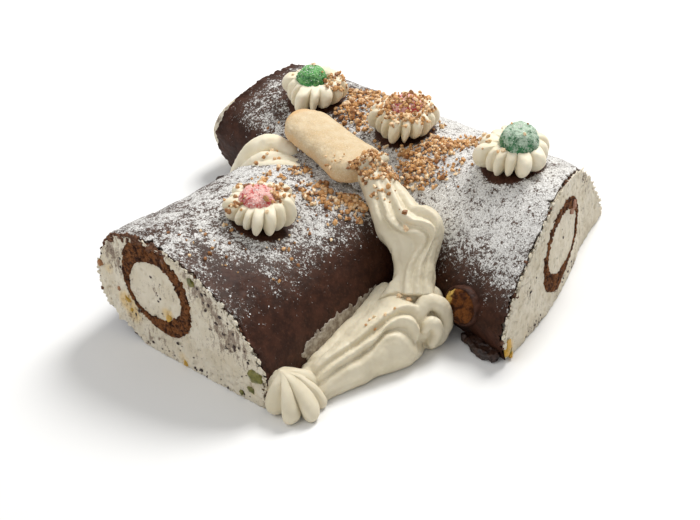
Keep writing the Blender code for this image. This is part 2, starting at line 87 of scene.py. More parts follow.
# ---------------------------------------------------------------- noise
class Noise:
    """Gradient noise on a repeating 256 lattice, about -1 to 1."""

    def __init__(self, seed):
        rng = np.random.default_rng(seed)
        self.perm = np.tile(rng.permutation(256), 3)
        grad = rng.normal(size=(256, 3))
        self.grad = grad / np.linalg.norm(grad, axis=1)[:, None]

    def __call__(self, p):
        p = np.asarray(p, float)
        cell = np.floor(p).astype(np.int64)
        f = p - cell
        cell &= 255
        w = f * f * f * (f * (f * 6 - 15) + 10)
        total = np.zeros(p.shape[:-1])
        for i in (0, 1):
            for j in (0, 1):
                for k in (0, 1):
                    at = self.perm[self.perm[self.perm[cell[..., 0] + i] + cell[..., 1] + j] + cell[..., 2] + k]
                    g = self.grad[at]
                    d = f - np.array([i, j, k])
                    share = ((w[..., 0] if i else 1 - w[..., 0]) * (w[..., 1] if j else 1 - w[..., 1])
                             * (w[..., 2] if k else 1 - w[..., 2]))
                    total += share * (g * d).sum(-1)
        return total * 1.6


def fbm(noise, p, octaves=3, gain=0.5):
    out, amp, total = 0.0, 1.0, 0.0
    for k in range(octaves):
        out = out + amp * noise(np.asarray(p) * 2 ** k + 17.3 * k)
        total += amp
        amp *= gain
    return out / total


N1, N2, N3, N4 = Noise(3), Noise(11), Noise(29), Noise(47)


def step(a, b, x):
    t = np.clip((np.asarray(x, float) - a) / (b - a), 0, 1)
    return t * t * (3 - 2 * t)


# ---------------------------------------------------------------- curves
def catmull(keys, per_span=12):
    """Points of a centripetal curve through the keys."""
    keys = np.asarray(keys, float)
    n = len(keys)
    u = (np.arange(per_span) / per_span)[:, None]
    out = []
    for i in range(n - 1):
        p1, p2 = keys[i], keys[i + 1]
        p0 = keys[i - 1] if i else 2 * p1 - p2
        p3 = keys[i + 2] if i + 2 < n else 2 * p2 - p1
        p = (p0, p1, p2, p3)
        t = [0.0]
        for a, b in zip(p, p[1:]):
            t.append(t[-1] + max(np.linalg.norm(b - a), 1e-6) ** 0.5)
        x = t[1] + (t[2] - t[1]) * u
        a1 = (t[1] - x) / (t[1] - t[0]) * p0 + (x - t[0]) / (t[1] - t[0]) * p1
        a2 = (t[2] - x) / (t[2] - t[1]) * p1 + (x - t[1]) / (t[2] - t[1]) * p2
        a3 = (t[3] - x) / (t[3] - t[2]) * p2 + (x - t[2]) / (t[3] - t[2]) * p3
        b1 = (t[2] - x) / (t[2] - t[0]) * a1 + (x - t[0]) / (t[2] - t[0]) * a2
        b2 = (t[3] - x) / (t[3] - t[1]) * a2 + (x - t[1]) / (t[3] - t[1]) * a3
        out.append((t[2] - x) / (t[2] - t[1]) * b1 + (x - t[1]) / (t[2] - t[1]) * b2)
    return np.vstack(out + [keys[-1:]])


def even(points, n):
    points = np.asarray(points, float)
    run = np.concatenate([[0], np.cumsum(np.linalg.norm(np.diff(points, axis=0), axis=1))])
    want = np.linspace(0, run[-1], n)
    return np.column_stack([np.interp(want, run, points[:, k]) for k in range(points.shape[1])])


def arch(section, n):
    return even(catmull([section[k] for k in KEYS]), n)


def inset(line, by, n):
    """An arch moved inwards and trimmed to the table again."""
    line = even(line, 241)
    tangent = np.gradient(line, axis=0)
    tangent /= np.linalg.norm(tangent, axis=1)[:, None]
    inner = line + by * np.column_stack([tangent[:, 1], -tangent[:, 0]])
    first, last = 0, len(inner) - 1
    while inner[first, 1] <= 0.01 or inner[first + 1, 1] <= inner[first, 1]:
        first += 1
    while inner[last, 1] <= 0.01 or inner[last - 1, 1] <= inner[last, 1]:
        last -= 1

    def foot(a, b):
        return a + (b - a) * (-a[1]) / (b[1] - a[1])

    return even(np.vstack([foot(inner[first], inner[first + 1]), inner[first:last + 1],
                           foot(inner[last], inner[last - 1])]), n)


def blended(a, b, t):
    out = {}
    for key in a:
        if key == "bearing":
            out[key] = a[key] + (b[key] - a[key]) * t
        else:
            out[key] = tuple(np.asarray(a[key], float) * (1 - t) + np.asarray(b[key], float) * t)
    return out


def to_space(outline, section, push):
    b = math.radians(section["bearing"])
    ds = outline[:, 0]
    x = section["foot"][0] + ds * math.cos(b) + push * math.sin(b)
    y = section["foot"][1] + ds * math.sin(b) - push * math.cos(b)
    return np.column_stack([x, y, outline[:, 1]])


def wavy(t):
    return 1.0 + 0.018 * math.sin(7.0 * t + 0.6)


# ---------------------------------------------------------------- meshes
def quads(rows, cols, wrap_cols=True, wrap_rows=False):
    """Quad indices of a grid of rows x cols points."""
    r = np.arange(rows if wrap_rows else rows - 1)
    c = np.arange(cols if wrap_cols else cols - 1)
    r, c = np.meshgrid(r, c, indexing="ij")
    a = r * cols + c
    b = r * cols + (c + 1) % cols
    d = ((r + 1) % rows) * cols + c
    e = ((r + 1) % rows) * cols + (c + 1) % cols
    return np.stack([a, b, e, d], -1).reshape(-1, 4)


TARGETS = []


def piece(name, verts, faces, mat, replaces=None, smooth=True, attrs=None, sharp=None,
          target=True, body=True, recalc=True):
    """A mesh object from points in mm of the plan, riding the root body."""
    verts = np.asarray(verts, float)
    mesh = bpy.data.meshes.new(name)
    mesh.from_pydata(((verts + SHIFT) * 0.001).tolist(), [], faces.tolist() if hasattr(faces, "tolist") else faces)
    if recalc:
        bm = bmesh.new()
        bm.from_mesh(mesh)
        bmesh.ops.recalc_face_normals(bm, faces=bm.faces)
        if bm.calc_volume(signed=True) < 0:
            bmesh.ops.reverse_faces(bm, faces=bm.faces)
        bm.to_mesh(mesh)
        bm.free()
    for key, values in (attrs or {}).items():
        mesh.attributes.new(key, "FLOAT", "POINT").data.foreach_set("value", np.asarray(values, np.float32))
    if smooth:
        mesh.shade_smooth()
        if sharp:
            mesh.set_sharp_from_angle(angle=math.radians(sharp))
    made = bpy.data.objects.new(name, mesh)
    bpy.context.scene.collection.objects.link(made)
    mesh.materials.append(mat)
    if body:
        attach(made, "root")
        if replaces:
            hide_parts(*replaces)
    if target:
        TARGETS.append((name, verts, faces))
    return made


def capped(grid):
    """Closed body of rings (K, N, 3) with a hub at each end: points and faces."""
    k, n, _ = grid.shape
    verts = np.vstack([grid.reshape(-1, 3), grid[0].mean(0)[None], grid[-1].mean(0)[None]])
    faces = quads(k, n).tolist()
    a, b = k * n, k * n + 1
    for i in range(n):
        j = (i + 1) % n
        faces.append([j, i, a])
        faces.append([(k - 1) * n + i, (k - 1) * n + j, b])
    return verts, faces


def normals_of(grid, wrap=True):
    """Unit normals of a grid of points, by differences along rows and columns."""
    du = np.gradient(grid, axis=0)
    if wrap:
        dv = (np.roll(grid, -1, axis=1) - np.roll(grid, 1, axis=1)) / 2
    else:
        dv = np.gradient(grid, axis=1)
    n = np.cross(dv, du)
    return n / np.maximum(np.linalg.norm(n, axis=-1, keepdims=True), 1e-9)


# ---------------------------------------------------------------- materials
def lin(r, g, b):
    return tuple(((c / 255) / 12.92 if c / 255 <= 0.04045 else ((c / 255 + 0.055) / 1.055) ** 2.4)
                 for c in (r, g, b)) + (1.0,)


class Mat:
    """A small helper round one Principled material."""

    def __init__(self, name, rough=0.6, spec=0.5):
        self.mat = bpy.data.materials.new(name)
        self.mat.use_nodes = True
        self.tree = self.mat.node_tree
        self.out = self.tree.nodes["Principled BSDF"]
        self.out.inputs["Roughness"].default_value = rough
        self.out.inputs["Specular IOR Level"].default_value = spec
        self.coords = self.tree.nodes.new("ShaderNodeTexCoord").outputs["Object"]

    def put(self, socket, value):
        if hasattr(value, "is_linked") or hasattr(value, "links"):
            self.tree.links.new(value, socket)
        else:
            socket.default_value = value

    def set(self, name, value):
        self.put(self.out.inputs[name], value)

    def sss(self, weight, radius, scale=1.0):
        self.out.inputs["Subsurface Weight"].default_value = weight
        self.out.inputs["Subsurface Radius"].default_value = radius
        self.out.inputs["Subsurface Scale"].default_value = scale

    def stretch(self, scale):
        n = self.tree.nodes.new("ShaderNodeMapping")
        n.inputs["Scale"].default_value = scale
        self.tree.links.new(self.coords, n.inputs["Vector"])
        return n.outputs["Vector"]

    def noise(self, scale, detail=2.0, rough=0.5, vector=None, distortion=0.0):
        n = self.tree.nodes.new("ShaderNodeTexNoise")
        n.inputs["Scale"].default_value = scale
        n.inputs["Detail"].default_value = detail
        n.inputs["Roughness"].default_value = rough
        n.inputs["Distortion"].default_value = distortion
        self.tree.links.new(vector or self.coords, n.inputs["Vector"])
        return n.outputs["Fac"]

    def cells(self, scale, feature="F1", vector=None):
        n = self.tree.nodes.new("ShaderNodeTexVoronoi")
        n.feature = feature
        n.inputs["Scale"].default_value = scale
        self.tree.links.new(vector or self.coords, n.inputs["Vector"])
        return n.outputs["Distance"]

    def attr(self, name):
        n = self.tree.nodes.new("ShaderNodeAttribute")
        n.attribute_name = name
        return n.outputs["Fac"]

    def math(self, op, a, b=0.0, c=None, clamp=False):
        n = self.tree.nodes.new("ShaderNodeMath")
        n.operation = op
        n.use_clamp = clamp
        self.put(n.inputs[0], a)
        self.put(n.inputs[1], b)
        if c is not None:
            self.put(n.inputs[2], c)
        return n.outputs[0]

    def range(self, value, a, b, lo=0.0, hi=1.0):
        n = self.tree.nodes.new("ShaderNodeMapRange")
        n.interpolation_type = "SMOOTHSTEP"
        self.put(n.inputs["Value"], value)
        n.inputs["From Min"].default_value = a
        n.inputs["From Max"].default_value = b
        n.inputs["To Min"].default_value = lo
        n.inputs["To Max"].default_value = hi
        return n.outputs["Result"]

    def mix(self, fac, a, b):
        n = self.tree.nodes.new("ShaderNodeMix")
        n.data_type = "RGBA"
        self.put(n.inputs[0], fac)
        self.put(n.inputs[6], a)
        self.put(n.inputs[7], b)
        return n.outputs[2]

    def bump(self, height, distance, strength=1.0):
        n = self.tree.nodes.new("ShaderNodeBump")
        n.inputs["Strength"].default_value = strength
        n.inputs["Distance"].default_value = distance
        self.put(n.inputs["Height"], height)
        self.tree.links.new(n.outputs["Normal"], self.out.inputs["Normal"])


def coat_material():
    m = Mat("coat_chocolate", rough=0.58, spec=0.16)
    fine, mid, coarse = m.noise(2100, 1.0), m.noise(760, 3.0, 0.62, None, 0.7), m.noise(190, 3.0, 0.6, None, 0.5)
    brown = m.mix(m.range(m.noise(160, 3.0), 0.35, 0.7), lin(48, 26, 17), lin(69, 40, 28))
    brown = m.mix(m.range(m.noise(700, 2.0), 0.5, 0.75, 0.0, 0.40), brown, lin(88, 56, 40))
    # flecks of icing sugar: the mask says how much lies here, the noises say where
    grain = m.math("ADD", m.math("MULTIPLY", fine, 0.20),
                   m.math("ADD", m.math("MULTIPLY", mid, 0.50), m.math("MULTIPLY", coarse, 0.30)))
    level = m.math("ADD", m.math("MULTIPLY", m.math("SUBTRACT", grain, 0.5), 9.0),
                   m.math("MULTIPLY_ADD", m.attr("sugar"), 2.00, -1.36))
    dust = m.range(level, -0.12, 0.42)
    white = m.mix(m.range(m.noise(1400, 1.0), 0.3, 0.7), lin(186, 183, 178), lin(230, 229, 226))
    haze = m.math("MULTIPLY", m.math("SUBTRACT", m.attr("sugar"), 0.2, clamp=True), 0.30, clamp=True)
    body = m.mix(haze, brown, lin(150, 138, 128))
    m.set("Base Color", m.mix(dust, body, white))
    m.set("Roughness", m.range(dust, 0.0, 1.0, 0.55, 0.95))
    height = m.math("ADD", m.math("MULTIPLY", dust, 0.5), m.math("MULTIPLY", m.noise(420, 3.0, 0.6), 0.8))
    m.bump(height, 0.0006, 0.8)
    return m.mat


def cream_material(name, light, dark, face=False):
    m = Mat(name, rough=0.48 if not face else 0.62, spec=0.35)
    base = m.mix(m.range(m.noise(90, 2.0), 0.3, 0.7), light, dark)
    if face:
        streak = m.noise(520, 4.0, 0.65, m.stretch((1.0, 1.0, 0.25)))
        fine = m.noise(1300, 2.0, 0.6)
        base = m.mix(m.range(m.math("ADD", m.math("MULTIPLY", m.attr("warm"), 1.6), m.math("SUBTRACT", m.math("ADD", m.math("MULTIPLY", streak, 0.5), m.math("MULTIPLY", fine, 0.5)), 0.85)), 0.0, 0.75, 0.0, 0.75),
                     base, lin(222, 192, 132))
        level = m.math("ADD", m.math("MULTIPLY", m.attr("stain"), 1.5), m.math("MULTIPLY", m.math("SUBTRACT", m.math("ADD", m.math("MULTIPLY", streak, 0.6), m.math("MULTIPLY", fine, 0.4)), 0.5), 6.5))
        stain = m.range(level, 0.55, 1.25, 0.0, 0.85)
        base = m.mix(stain, base, m.mix(m.range(fine, 0.4, 0.6), lin(98, 72, 56), lin(146, 130, 114)))
        m.set("Base Color", base)
        m.bump(m.math("ADD", m.math("MULTIPLY", streak, 0.8), m.math("MULTIPLY", fine, 0.35)), 0.0009, 0.7)
        m.sss(0.10, (0.004, 0.003, 0.002))
    else:
        m.set("Base Color", base)
        m.bump(m.math("ADD", m.math("MULTIPLY", m.noise(500, 2.0), 0.6), m.math("MULTIPLY", m.noise(1900, 1.0), 0.25)), 0.00025, 0.5)
        m.sss(0.07, (0.003, 0.002, 0.0012))
    return m.mat


def sponge_material():
    m = Mat("roulade_sponge", rough=0.85, spec=0.2)
    pores = m.cells(620)
    tone = m.noise(260, 3.0, 0.65)
    base = m.mix(m.range(tone, 0.38, 0.62), lin(56, 28, 13), lin(128, 80, 44))
    base = m.mix(m.range(m.noise(900, 2.0), 0.58, 0.72, 0.0, 0.8), base, lin(150, 104, 66))
    # near black in the pores: painted shade in the holes
    base = m.mix(m.range(pores, 0.0, 0.28, 0.75, 0.0), base, lin(34, 17, 9))
    m.set("Base Color", base)
    m.bump(m.math("ADD", m.math("MULTIPLY", pores, 1.2), m.noise(800, 3.0, 0.7)), 0.0010, 0.9)
    return m.mat


def biscuit_material():
    m = Mat("finger_crumb", rough=0.8, spec=0.25)
    tone = m.attr("toast")
    base = m.mix(m.range(m.noise(120, 3.0, 0.6), 0.3, 0.7), lin(212, 193, 160), lin(202, 177, 138))
    base = m.mix(m.range(tone, 0.0, 1.0, 0.0, 0.85), base, lin(214, 158, 88))
    pore = m.cells(430)
    hole = m.range(pore, 0.0, 0.20, 1.0, 0.0)
    some = m.range(m.noise(230, 1.0), 0.55, 0.66)
    base = m.mix(m.math("MULTIPLY", m.math("MULTIPLY", hole, some), 0.65), base, lin(158, 112, 64))
    dust = m.range(m.noise(1700, 2.0), 0.52, 0.66, 0.0, 0.5)
    base = m.mix(dust, base, lin(226, 212, 186))
    m.set("Base Color", base)
    m.bump(m.math("ADD", m.math("MULTIPLY", m.noise(520, 3.0, 0.6), 1.0), m.math("MULTIPLY", m.math("MULTIPLY", hole, some), -0.8)), 0.0006, 0.8)
    m.sss(0.06, (0.003, 0.002, 0.001))
    return m.mat


def jelly_material(name, deep, mid, frost):
    m = Mat(name, rough=0.3, spec=0.5)
    grains = m.range(m.math("ADD", m.math("MULTIPLY", m.noise(900, 2.0), 0.6), m.math("MULTIPLY", m.attr("frost"), 0.5)), 0.42, 0.74)
    body = m.mix(m.range(m.noise(170, 2.0), 0.35, 0.65), deep, mid)
    m.set("Base Color", m.mix(grains, body, frost))
    m.set("Roughness", m.range(grains, 0.0, 1.0, 0.22, 0.75))
    m.sss(0.30, (0.004, 0.003, 0.003))
    m.bump(m.math("ADD", m.cells(1500), m.noise(1000, 2.0)), 0.0005, 0.8)
    return m.mat


def crumb_material():
    m = Mat("nut_krokant", rough=0.45, spec=0.45)
    tone = m.attr("tone")
    base = m.mix(m.range(tone, 0.0, 0.55), lin(130, 82, 40), lin(214, 166, 110))
    base = m.mix(m.range(tone, 0.55, 1.0), base, lin(248, 222, 184))
    base = m.mix(m.range(m.noise(900, 2.0), 0.45, 0.7, 0.0, 0.45), base, lin(186, 124, 64))
    m.set("Base Color", base)
    m.sss(0.15, (0.0015, 0.001, 0.0006))
    m.bump(m.noise(1500, 2.0), 0.0003, 0.7)
    return m.mat


def plain(name, a, b, scale, rough, spec=0.4, bump=0.0004, sss=None):
    m = Mat(name, rough=rough, spec=spec)
    m.set("Base Color", m.mix(m.range(m.noise(scale, 3.0, 0.6), 0.35, 0.65), a, b))
    m.bump(m.noise(scale * 2.2, 3.0, 0.6), bump, 0.8)
    if sss:
        m.sss(*sss)
    return m.mat


def stub_material():
    m = Mat("stub_sponge", rough=0.85, spec=0.15)
    pores = m.cells(560)
    base = m.mix(m.range(m.noise(230, 3.0, 0.65), 0.38, 0.62), lin(62, 31, 14), lin(116, 68, 30))
    base = m.mix(m.range(m.math("ADD", m.attr("pale"), m.math("SUBTRACT", m.noise(380, 2.0), 0.5)), 0.35, 0.75), base, lin(206, 170, 92))
    # near black in the pores: painted shade in the holes
    base = m.mix(m.range(pores, 0.0, 0.24, 0.7, 0.0), base, lin(48, 24, 11))
    m.set("Base Color", base)
    m.bump(m.math("ADD", pores, m.noise(700, 3.0, 0.7)), 0.0010, 0.9)
    return m.mat


M_COAT = coat_material()
M_FACE = cream_material("cream_cut", lin(222, 213, 194), lin(212, 201, 178), face=True)
M_PIPED = cream_material("cream_piped", lin(240, 231, 208), lin(232, 221, 193))
# the same piped cream made darker for the base strip, the front strip and the star: painted shade
M_PIPED_SHADED = cream_material("cream_piped_shaded", lin(226, 216, 191), lin(215, 204, 177))
M_SPONGE = sponge_material()
M_FINGER = biscuit_material()
M_GREEN = jelly_material("jelly_green", lin(30, 92, 50), lin(48, 122, 72), lin(188, 208, 186))
M_GREEN_DEEP = jelly_material("jelly_green_deep", lin(24, 96, 40), lin(44, 136, 60), lin(116, 178, 106))
M_RED = jelly_material("jelly_red", lin(186, 52, 52), lin(218, 92, 86), lin(242, 190, 181))
M_CRUMB = crumb_material()
M_DARK = plain("chocolate_dark", lin(38, 22, 15), lin(62, 39, 28), 260, 0.42, 0.5, 0.0008)
M_STUB_RIM = plain("stub_coat", lin(50, 27, 18), lin(74, 44, 31), 260, 0.6, 0.2, 0.0006)
M_STUB = stub_material()
M_SUGAR = plain("icing_grain", lin(238, 237, 234), lin(250, 250, 248), 900, 0.8, 0.3, 0.0002)
M_CANDY_YELLOW = plain("candied_yellow", lin(206, 160, 56), lin(176, 138, 40), 300, 0.35, 0.5, 0.0004, (0.2, (0.002, 0.0015, 0.0006)))
M_CANDY_GREEN = plain("candied_green", lin(88, 88, 32), lin(128, 122, 56), 300, 0.35, 0.5, 0.0004, (0.2, (0.002, 0.002, 0.0008)))
M_CURL = plain("curl_sponge", lin(150, 104, 84), lin(196, 158, 136), 420, 0.8, 0.2, 0.0006)
M_CANDY_ORANGE = plain("candied_orange", lin(128, 78, 34), lin(172, 118, 60), 300, 0.4, 0.5, 0.0004, (0.2, (0.002, 0.0012, 0.0006)))
M_FILM = plain("cream_film", lin(122, 108, 94), lin(170, 160, 145), 260, 0.55, 0.4, 0.0004)


# ---------------------------------------------------------------- logs
ROSETTES = (
    # name, node, place, turn, size, candy name, candy node, offset, radius, height, flutes, ground
    ("swirl_green_left", "rosette_green_left", (-16.5, 71.0), 10.0, 0.94, "jelly_green_left", "candy_green_left", (-2.0, -1.0), 8.8, 12.0, 14, 11),
    ("swirl_pink", "rosette_pink", (33.5, 28.5), 35.0, 0.98, "jelly_pink", "candy_pink", (0.5, 1.0), 9.5, 10.0, 15, 23),
    ("swirl_green_right", "rosette_green_right", (89.5, -24.0), 0.0, 1.00, "jelly_green_right", "candy_green_right", (3.0, -2.0), 10.6, 15.5, 13, 37),
    ("swirl_red", "rosette_red", (-47.0, -57.5), 20.0, 0.94, "jelly_red", "candy_red", (-1.0, -1.0), 10.4, 10.0, 15, 51),
)


def ring_radius(tube, angle, which):
    keys = np.arange(0, 361, 20)
    table = np.array(tube[which] + tube[which][:1], float)
    # smooth through the keys
    fine = np.interp(np.degrees(angle) % 360, keys, table)
    a = np.interp((np.degrees(angle) + 8) % 360, keys, table)
    b = np.interp((np.degrees(angle) - 8) % 360, keys, table)
    return (fine + a + b) / 3


def log_pieces(prefix, node, near, far, near_tube, far_tube, near_out, far_bulge, sugar_rule, stain_rule, thin):
    stations = 110
    around = 300
    floor_n = 110
    total = around + floor_n
    # stations crowd towards both ends
    t_all = np.linspace(0, 1, stations)
    t_all = t_all + 0.5 * (np.sin(2 * np.pi * t_all) / (2 * np.pi)) * -1.0
    outer, inner, filled, centres, secs = [], [], [], [], []
    for t in t_all:
        sec = blended(near, far, t)
        line = arch(sec, around)
        if 0 < t < 1:
            line[:, 1] *= 1 + (wavy(t) - 1) * min(1.0, t / 0.1, (1 - t) / 0.1)
        bulge = far_bulge * step(0.80, 1.0, t)
        push = lambda pts: bulge * np.sin(np.pi * np.clip(pts[:, 0] / 110.0, 0, 1))
        inn = inset(line, COAT, around)
        fil = inset(line, COAT - 0.25, around)
        outer.append(to_space(line, sec, push(line)))
        inner.append(to_space(inn, sec, push(inn)))
        floor = np.column_stack([np.linspace(fil[-1, 0], fil[0, 0], floor_n + 2)[1:-1], np.zeros(floor_n)])
        whole = np.vstack([fil, floor])
        filled.append((whole, sec, bulge))
    outer, inner = np.array(outer), np.array(inner)

    # the direction that the log runs in, for pushing its ends
    run_far = outer[-1] - outer[-2]
    run_far /= np.linalg.norm(run_far, axis=1)[:, None]
    b = math.radians(far["bearing"])
    face_out = np.array([math.sin(b), -math.cos(b), 0.0])
    b = math.radians(near["bearing"])
    near_dir = -np.array([math.sin(b), -math.cos(b), 0.0])

    # ---- coat
    length = np.linalg.norm(outer[-1].mean(0) - outer[0].mean(0))
    u = t_all * length                                   # mm along the log
    n = normals_of(outer, wrap=False)
    if n[stations // 2, around // 2, 2] < 0:
        n = -n
    from_end = np.minimum(u, length - u)[:, None]
    lumps = 0.9 * fbm(N1, outer / 26.0, 2) + 0.35 * fbm(N2, outer / 7.0, 2) + 0.16 * fbm(N3, outer / 2.2, 2)
    edge = (1 - step(0, 7, from_end)) * (0.9 * fbm(N2, outer / 3.0, 2) + 0.5 * N3(outer / 6.0))
    foot = step(0.0, 6.0, outer[..., 2])
    skin = outer + n * ((lumps + edge) * (0.25 + 0.75 * foot))[..., None]
    skin[..., 2] = np.maximum(skin[..., 2], 0.05)
    lining = inner + n * (0.2 * N2(inner / 5.0))[..., None]
    lining[..., 2] = np.maximum(lining[..., 2], 0.0)
    # ragged rims: the last rows run in and out along the log
    for end, direction in ((-1, face_out), (0, near_dir)):
        rag = 1.6 * fbm(N3, outer[end] / 3.0, 3) + 0.8 * N4(outer[end] / 13.0) - 0.9
        if end == -1 and far_bulge:
            rag -= 4.0 * step(96, 112, np.linalg.norm(outer[end][:, :2] - np.array(far["foot"]), axis=1))
        if end == 0 and near_out:
            rag += near_out * 0.55 * np.sin(np.pi * np.clip(outer[end][:, 2] / 47.0, 0, 1)) ** 0.8
        if end == -1:
            rag -= 3.4 * step(0.05, 0.55, fbm(N4, outer[end] / 5.0, 3)) * step(18, 40, np.abs(np.arange(around) - 90))
        for k in range(14):
            share = (1 - k / 14.0) ** 1.4
            row = end if end == 0 else -1
            row = row + (k if end == 0 else -k)
            skin[row] += direction * (rag * share)[:, None]
            lining[row] += direction * ((rag - 0.3) * share)[:, None]
    rows, cols = skin.shape[:2]
    verts = np.vstack([skin.reshape(-1, 3), lining.reshape(-1, 3)])
    faces = quads(rows, cols, wrap_cols=False)
    back = quads(rows, cols, wrap_cols=False)[:, ::-1] + rows * cols
    i = np.arange(cols - 1)
    half = rows * cols
    ends = []
    for row in (0, rows - 1):
        a = row * cols + i
        ends.append(np.stack([a, a + 1, a + 1 + half, a + half], 1))
    k = np.arange(rows - 1)
    for col in (0, cols - 1):
        a = k * cols + col
        ends.append(np.stack([a, a + cols, a + cols + half, a + half], 1))
    faces = np.vstack([faces, back] + ends)
    sugar = sugar_rule(skin, n, u, length)
    sugar = np.concatenate([sugar.ravel(), np.zeros(half)])
    coat = piece(prefix + "_coat", verts, faces, M_COAT, (node + "_coat",),
                 attrs={"sugar": sugar}, sharp=70)

    # ---- cream, sponge and core: rings matched by direction from the tube's centre
    def tube_at(t, sec_whole, offset, which):
        centre = np.array(near_tube[0]) * (1 - t) + np.array(far_tube[0]) * t
        d = sec_whole - centre
        ang = np.arctan2(d[:, 1], d[:, 0])
        reach = np.linalg.norm(d, axis=1)
        r = ring_radius(near_tube, ang, which) * (1 - t) + ring_radius(far_tube, ang, which) * t
        return centre, ang, np.minimum(r + offset, reach - 0.8)

    def polar(centre, ang, r):
        return np.column_stack([centre[0] + r * np.cos(ang), centre[1] + r * np.sin(ang)])

    def ragged(ang, t, seed, amount):
        p = np.column_stack([np.cos(ang) * 3.2, np.sin(ang) * 3.2, np.full(len(ang), t * 9 + seed)])
        q = p * np.array([4.0, 4.0, 1.0])
        return amount * (0.9 * N1(p) + 0.7 * N2(q) + 0.35 * N3(q * 2.3))

    def place(pts, sec, bulge, out):
        push = out + bulge * np.sin(np.pi * np.clip(pts[:, 0] / 110.0, 0, 1))
        return to_space(pts, sec, push)

    picks = np.unique(np.concatenate([np.arange(0, 8), np.arange(8, stations - 8, 4), np.arange(stations - 8, stations)]))
    swell = lambda ring: near_dir * (near_out * np.sin(np.pi * np.clip(ring[:, 2] / 47.0, 0, 1)) ** 0.8)[:, None]

    def side(offset, which):
        rings = []
        for kk in picks:
            whole, sec, bulge = filled[kk]
            t = t_all[kk]
            if which == 0:
                pts = whole
            else:
                c, a, r = tube_at(t, whole, offset, which)
                pts = polar(c, a, np.maximum(r + ragged(a, t, which * 5.0, 0.8), 2.0))
            rings.append(place(pts, sec, bulge, 0.0))
        return np.array(rings)

    def with_swell(grid):
        """The hidden end carried out, fading over the next rows."""
        if near_out:
            for k in range(6):
                grid[k] += swell(grid[k]) * (1 - k / 6.0)
        return grid

    def face_rings(end, a_pts, b_pts, steps, power=1.0):
        """Rings from outline a to outline b, both in section coordinates."""
        kk = 0 if end == 0 else stations - 1
        whole, sec, bulge = filled[kk]
        out = []
        for s in np.linspace(0, 1, steps) ** power:
            pts = a_pts * (1 - s) + b_pts * s
            g = place(pts, sec, bulge, 0.0)
            if end == 0 and near_out:
                g += swell(g)
            out.append(g)
        return np.array(out)

    face_n = {-1: face_out, 0: near_dir}

    def relief(grid, end, kind):
        """Moves a face's points along its outward normal."""
        nrm = face_n[end]
        p = grid
        if kind == "cream":
            stretched = p * np.array([1.0, 1.0, 0.38])
            d = 0.80 * fbm(N1, p / 9.0, 2) + 0.85 * fbm(N2, stretched / 2.2, 3) - 0.9 * step(0.22, 0.55, N3(p / 2.6))
            d = d * thin
        elif kind == "sponge":
            d = 0.55 + 0.9 * fbm(N3, p / 2.0, 3) - 1.1 * step(0.15, 0.5, N4(p / 1.5))
        else:
            d = 0.5 * fbm(N2, p / 7.0, 2) + 0.4 * fbm(N4, p * np.array([1, 1, 0.5]) / 2.4, 2) - 0.6 * step(0.3, 0.6, N1(p / 2.6))
        return p + nrm * d[..., None]

    out_far, out_near = 0.6, 0.0
    # cream: outer side, far face inwards, the hole's side back, near face outwards
    outer_side = with_swell(side(0, 0))
    hole_side = with_swell(side(-0.5, 1))
    loops = [outer_side]
    def whole_and_hole(end):
        kk = 0 if end == 0 else stations - 1
        whole, sec, bulge = filled[kk]
        c, a, r = tube_at(t_all[kk], whole, -0.5, 1)
        return whole, polar(c, a, np.maximum(r + ragged(a, t_all[kk], 5.0, 0.8), 2.0))
    w, h = whole_and_hole(-1)
    hub = h.mean(0)
    ray = (w - hub) / np.linalg.norm(w - hub, axis=1)[:, None]
    spread = np.column_stack([w / 2.4, np.full(len(w), 3.0 if far_bulge else 8.0)])
    reach = np.clip(1.5 + 4.2 * fbm(N3, spread, 3) + 1.4 * N1(spread / 3.0), 0.0, 4.0) * step(0.5, 3.0, w[:, 1])
    far_face = face_rings(-1, w + ray * reach[:, None], h, 60) + face_out * out_far
    far_face[0] = place(w, filled[-1][1], filled[-1][2], 0.0) - face_out * 0.6
    for k, share in ((1, 0.5), (2, 0.8), (3, 0.6), (4, 0.3)):
        far_face[k] += face_out * (share * 0.35 * reach)[:, None]
    far_face[1:] = relief(far_face[1:], -1, "cream")
    w0, h0 = whole_and_hole(0)
    near_face = face_rings(0, h0, w0, 44) + near_dir * out_near
    near_face[:-1] = relief(near_face[:-1], 0, "cream")
    near_face[-1] -= near_dir * 0.6
    grid = np.concatenate([outer_side[1:-1], far_face, hole_side[::-1][1:-1], near_face])
    grid[..., 2] = np.maximum(grid[..., 2], 0.0)
    stain, warm = stain_rule(grid.reshape(-1, 3))
    piece(prefix + "_cream", grid.reshape(-1, 3), quads(grid.shape[0], grid.shape[1], True, True), M_FACE,
          (node + "_cream",), attrs={"stain": stain, "warm": warm})

    # sponge
    so, si = with_swell(side(0.2, 1)), with_swell(side(0.0, 2))
    def sponge_edges(end):
        kk = 0 if end == 0 else stations - 1
        whole, sec, bulge = filled[kk]
        t = t_all[kk]
        c, a, r = tube_at(t, whole, 0.2, 1)
        c2, a2, r2 = tube_at(t, whole, 0.0, 2)
        ro = np.maximum(r + ragged(a, t, 5.0, 0.8), 2.0)
        ri = np.minimum(np.maximum(r2 + ragged(a2, t, 10.0, 0.8), 2.0), ro - 0.7)
        return polar(c, a, ro), polar(c2, a2, ri)
    a_, b_ = sponge_edges(-1)
    far_ring = relief(face_rings(-1, a_, b_, 14) + face_out * (out_far + 0.15), -1, "sponge")
    far_ring[0] -= face_out * 0.9
    far_ring[-1] -= face_out * 0.9
    a_, b_ = sponge_edges(0)
    near_ring = relief(face_rings(0, b_, a_, 14) + near_dir * (out_near + 0.1), 0, "sponge")
    near_ring[0] -= near_dir * 0.9
    near_ring[-1] -= near_dir * 0.9
    grid = np.concatenate([so[1:-1], far_ring, si[::-1][1:-1], near_ring])
    piece(prefix + "_sponge", grid.reshape(-1, 3), quads(grid.shape[0], grid.shape[1], True, True), M_SPONGE,
          (node + "_sponge",))

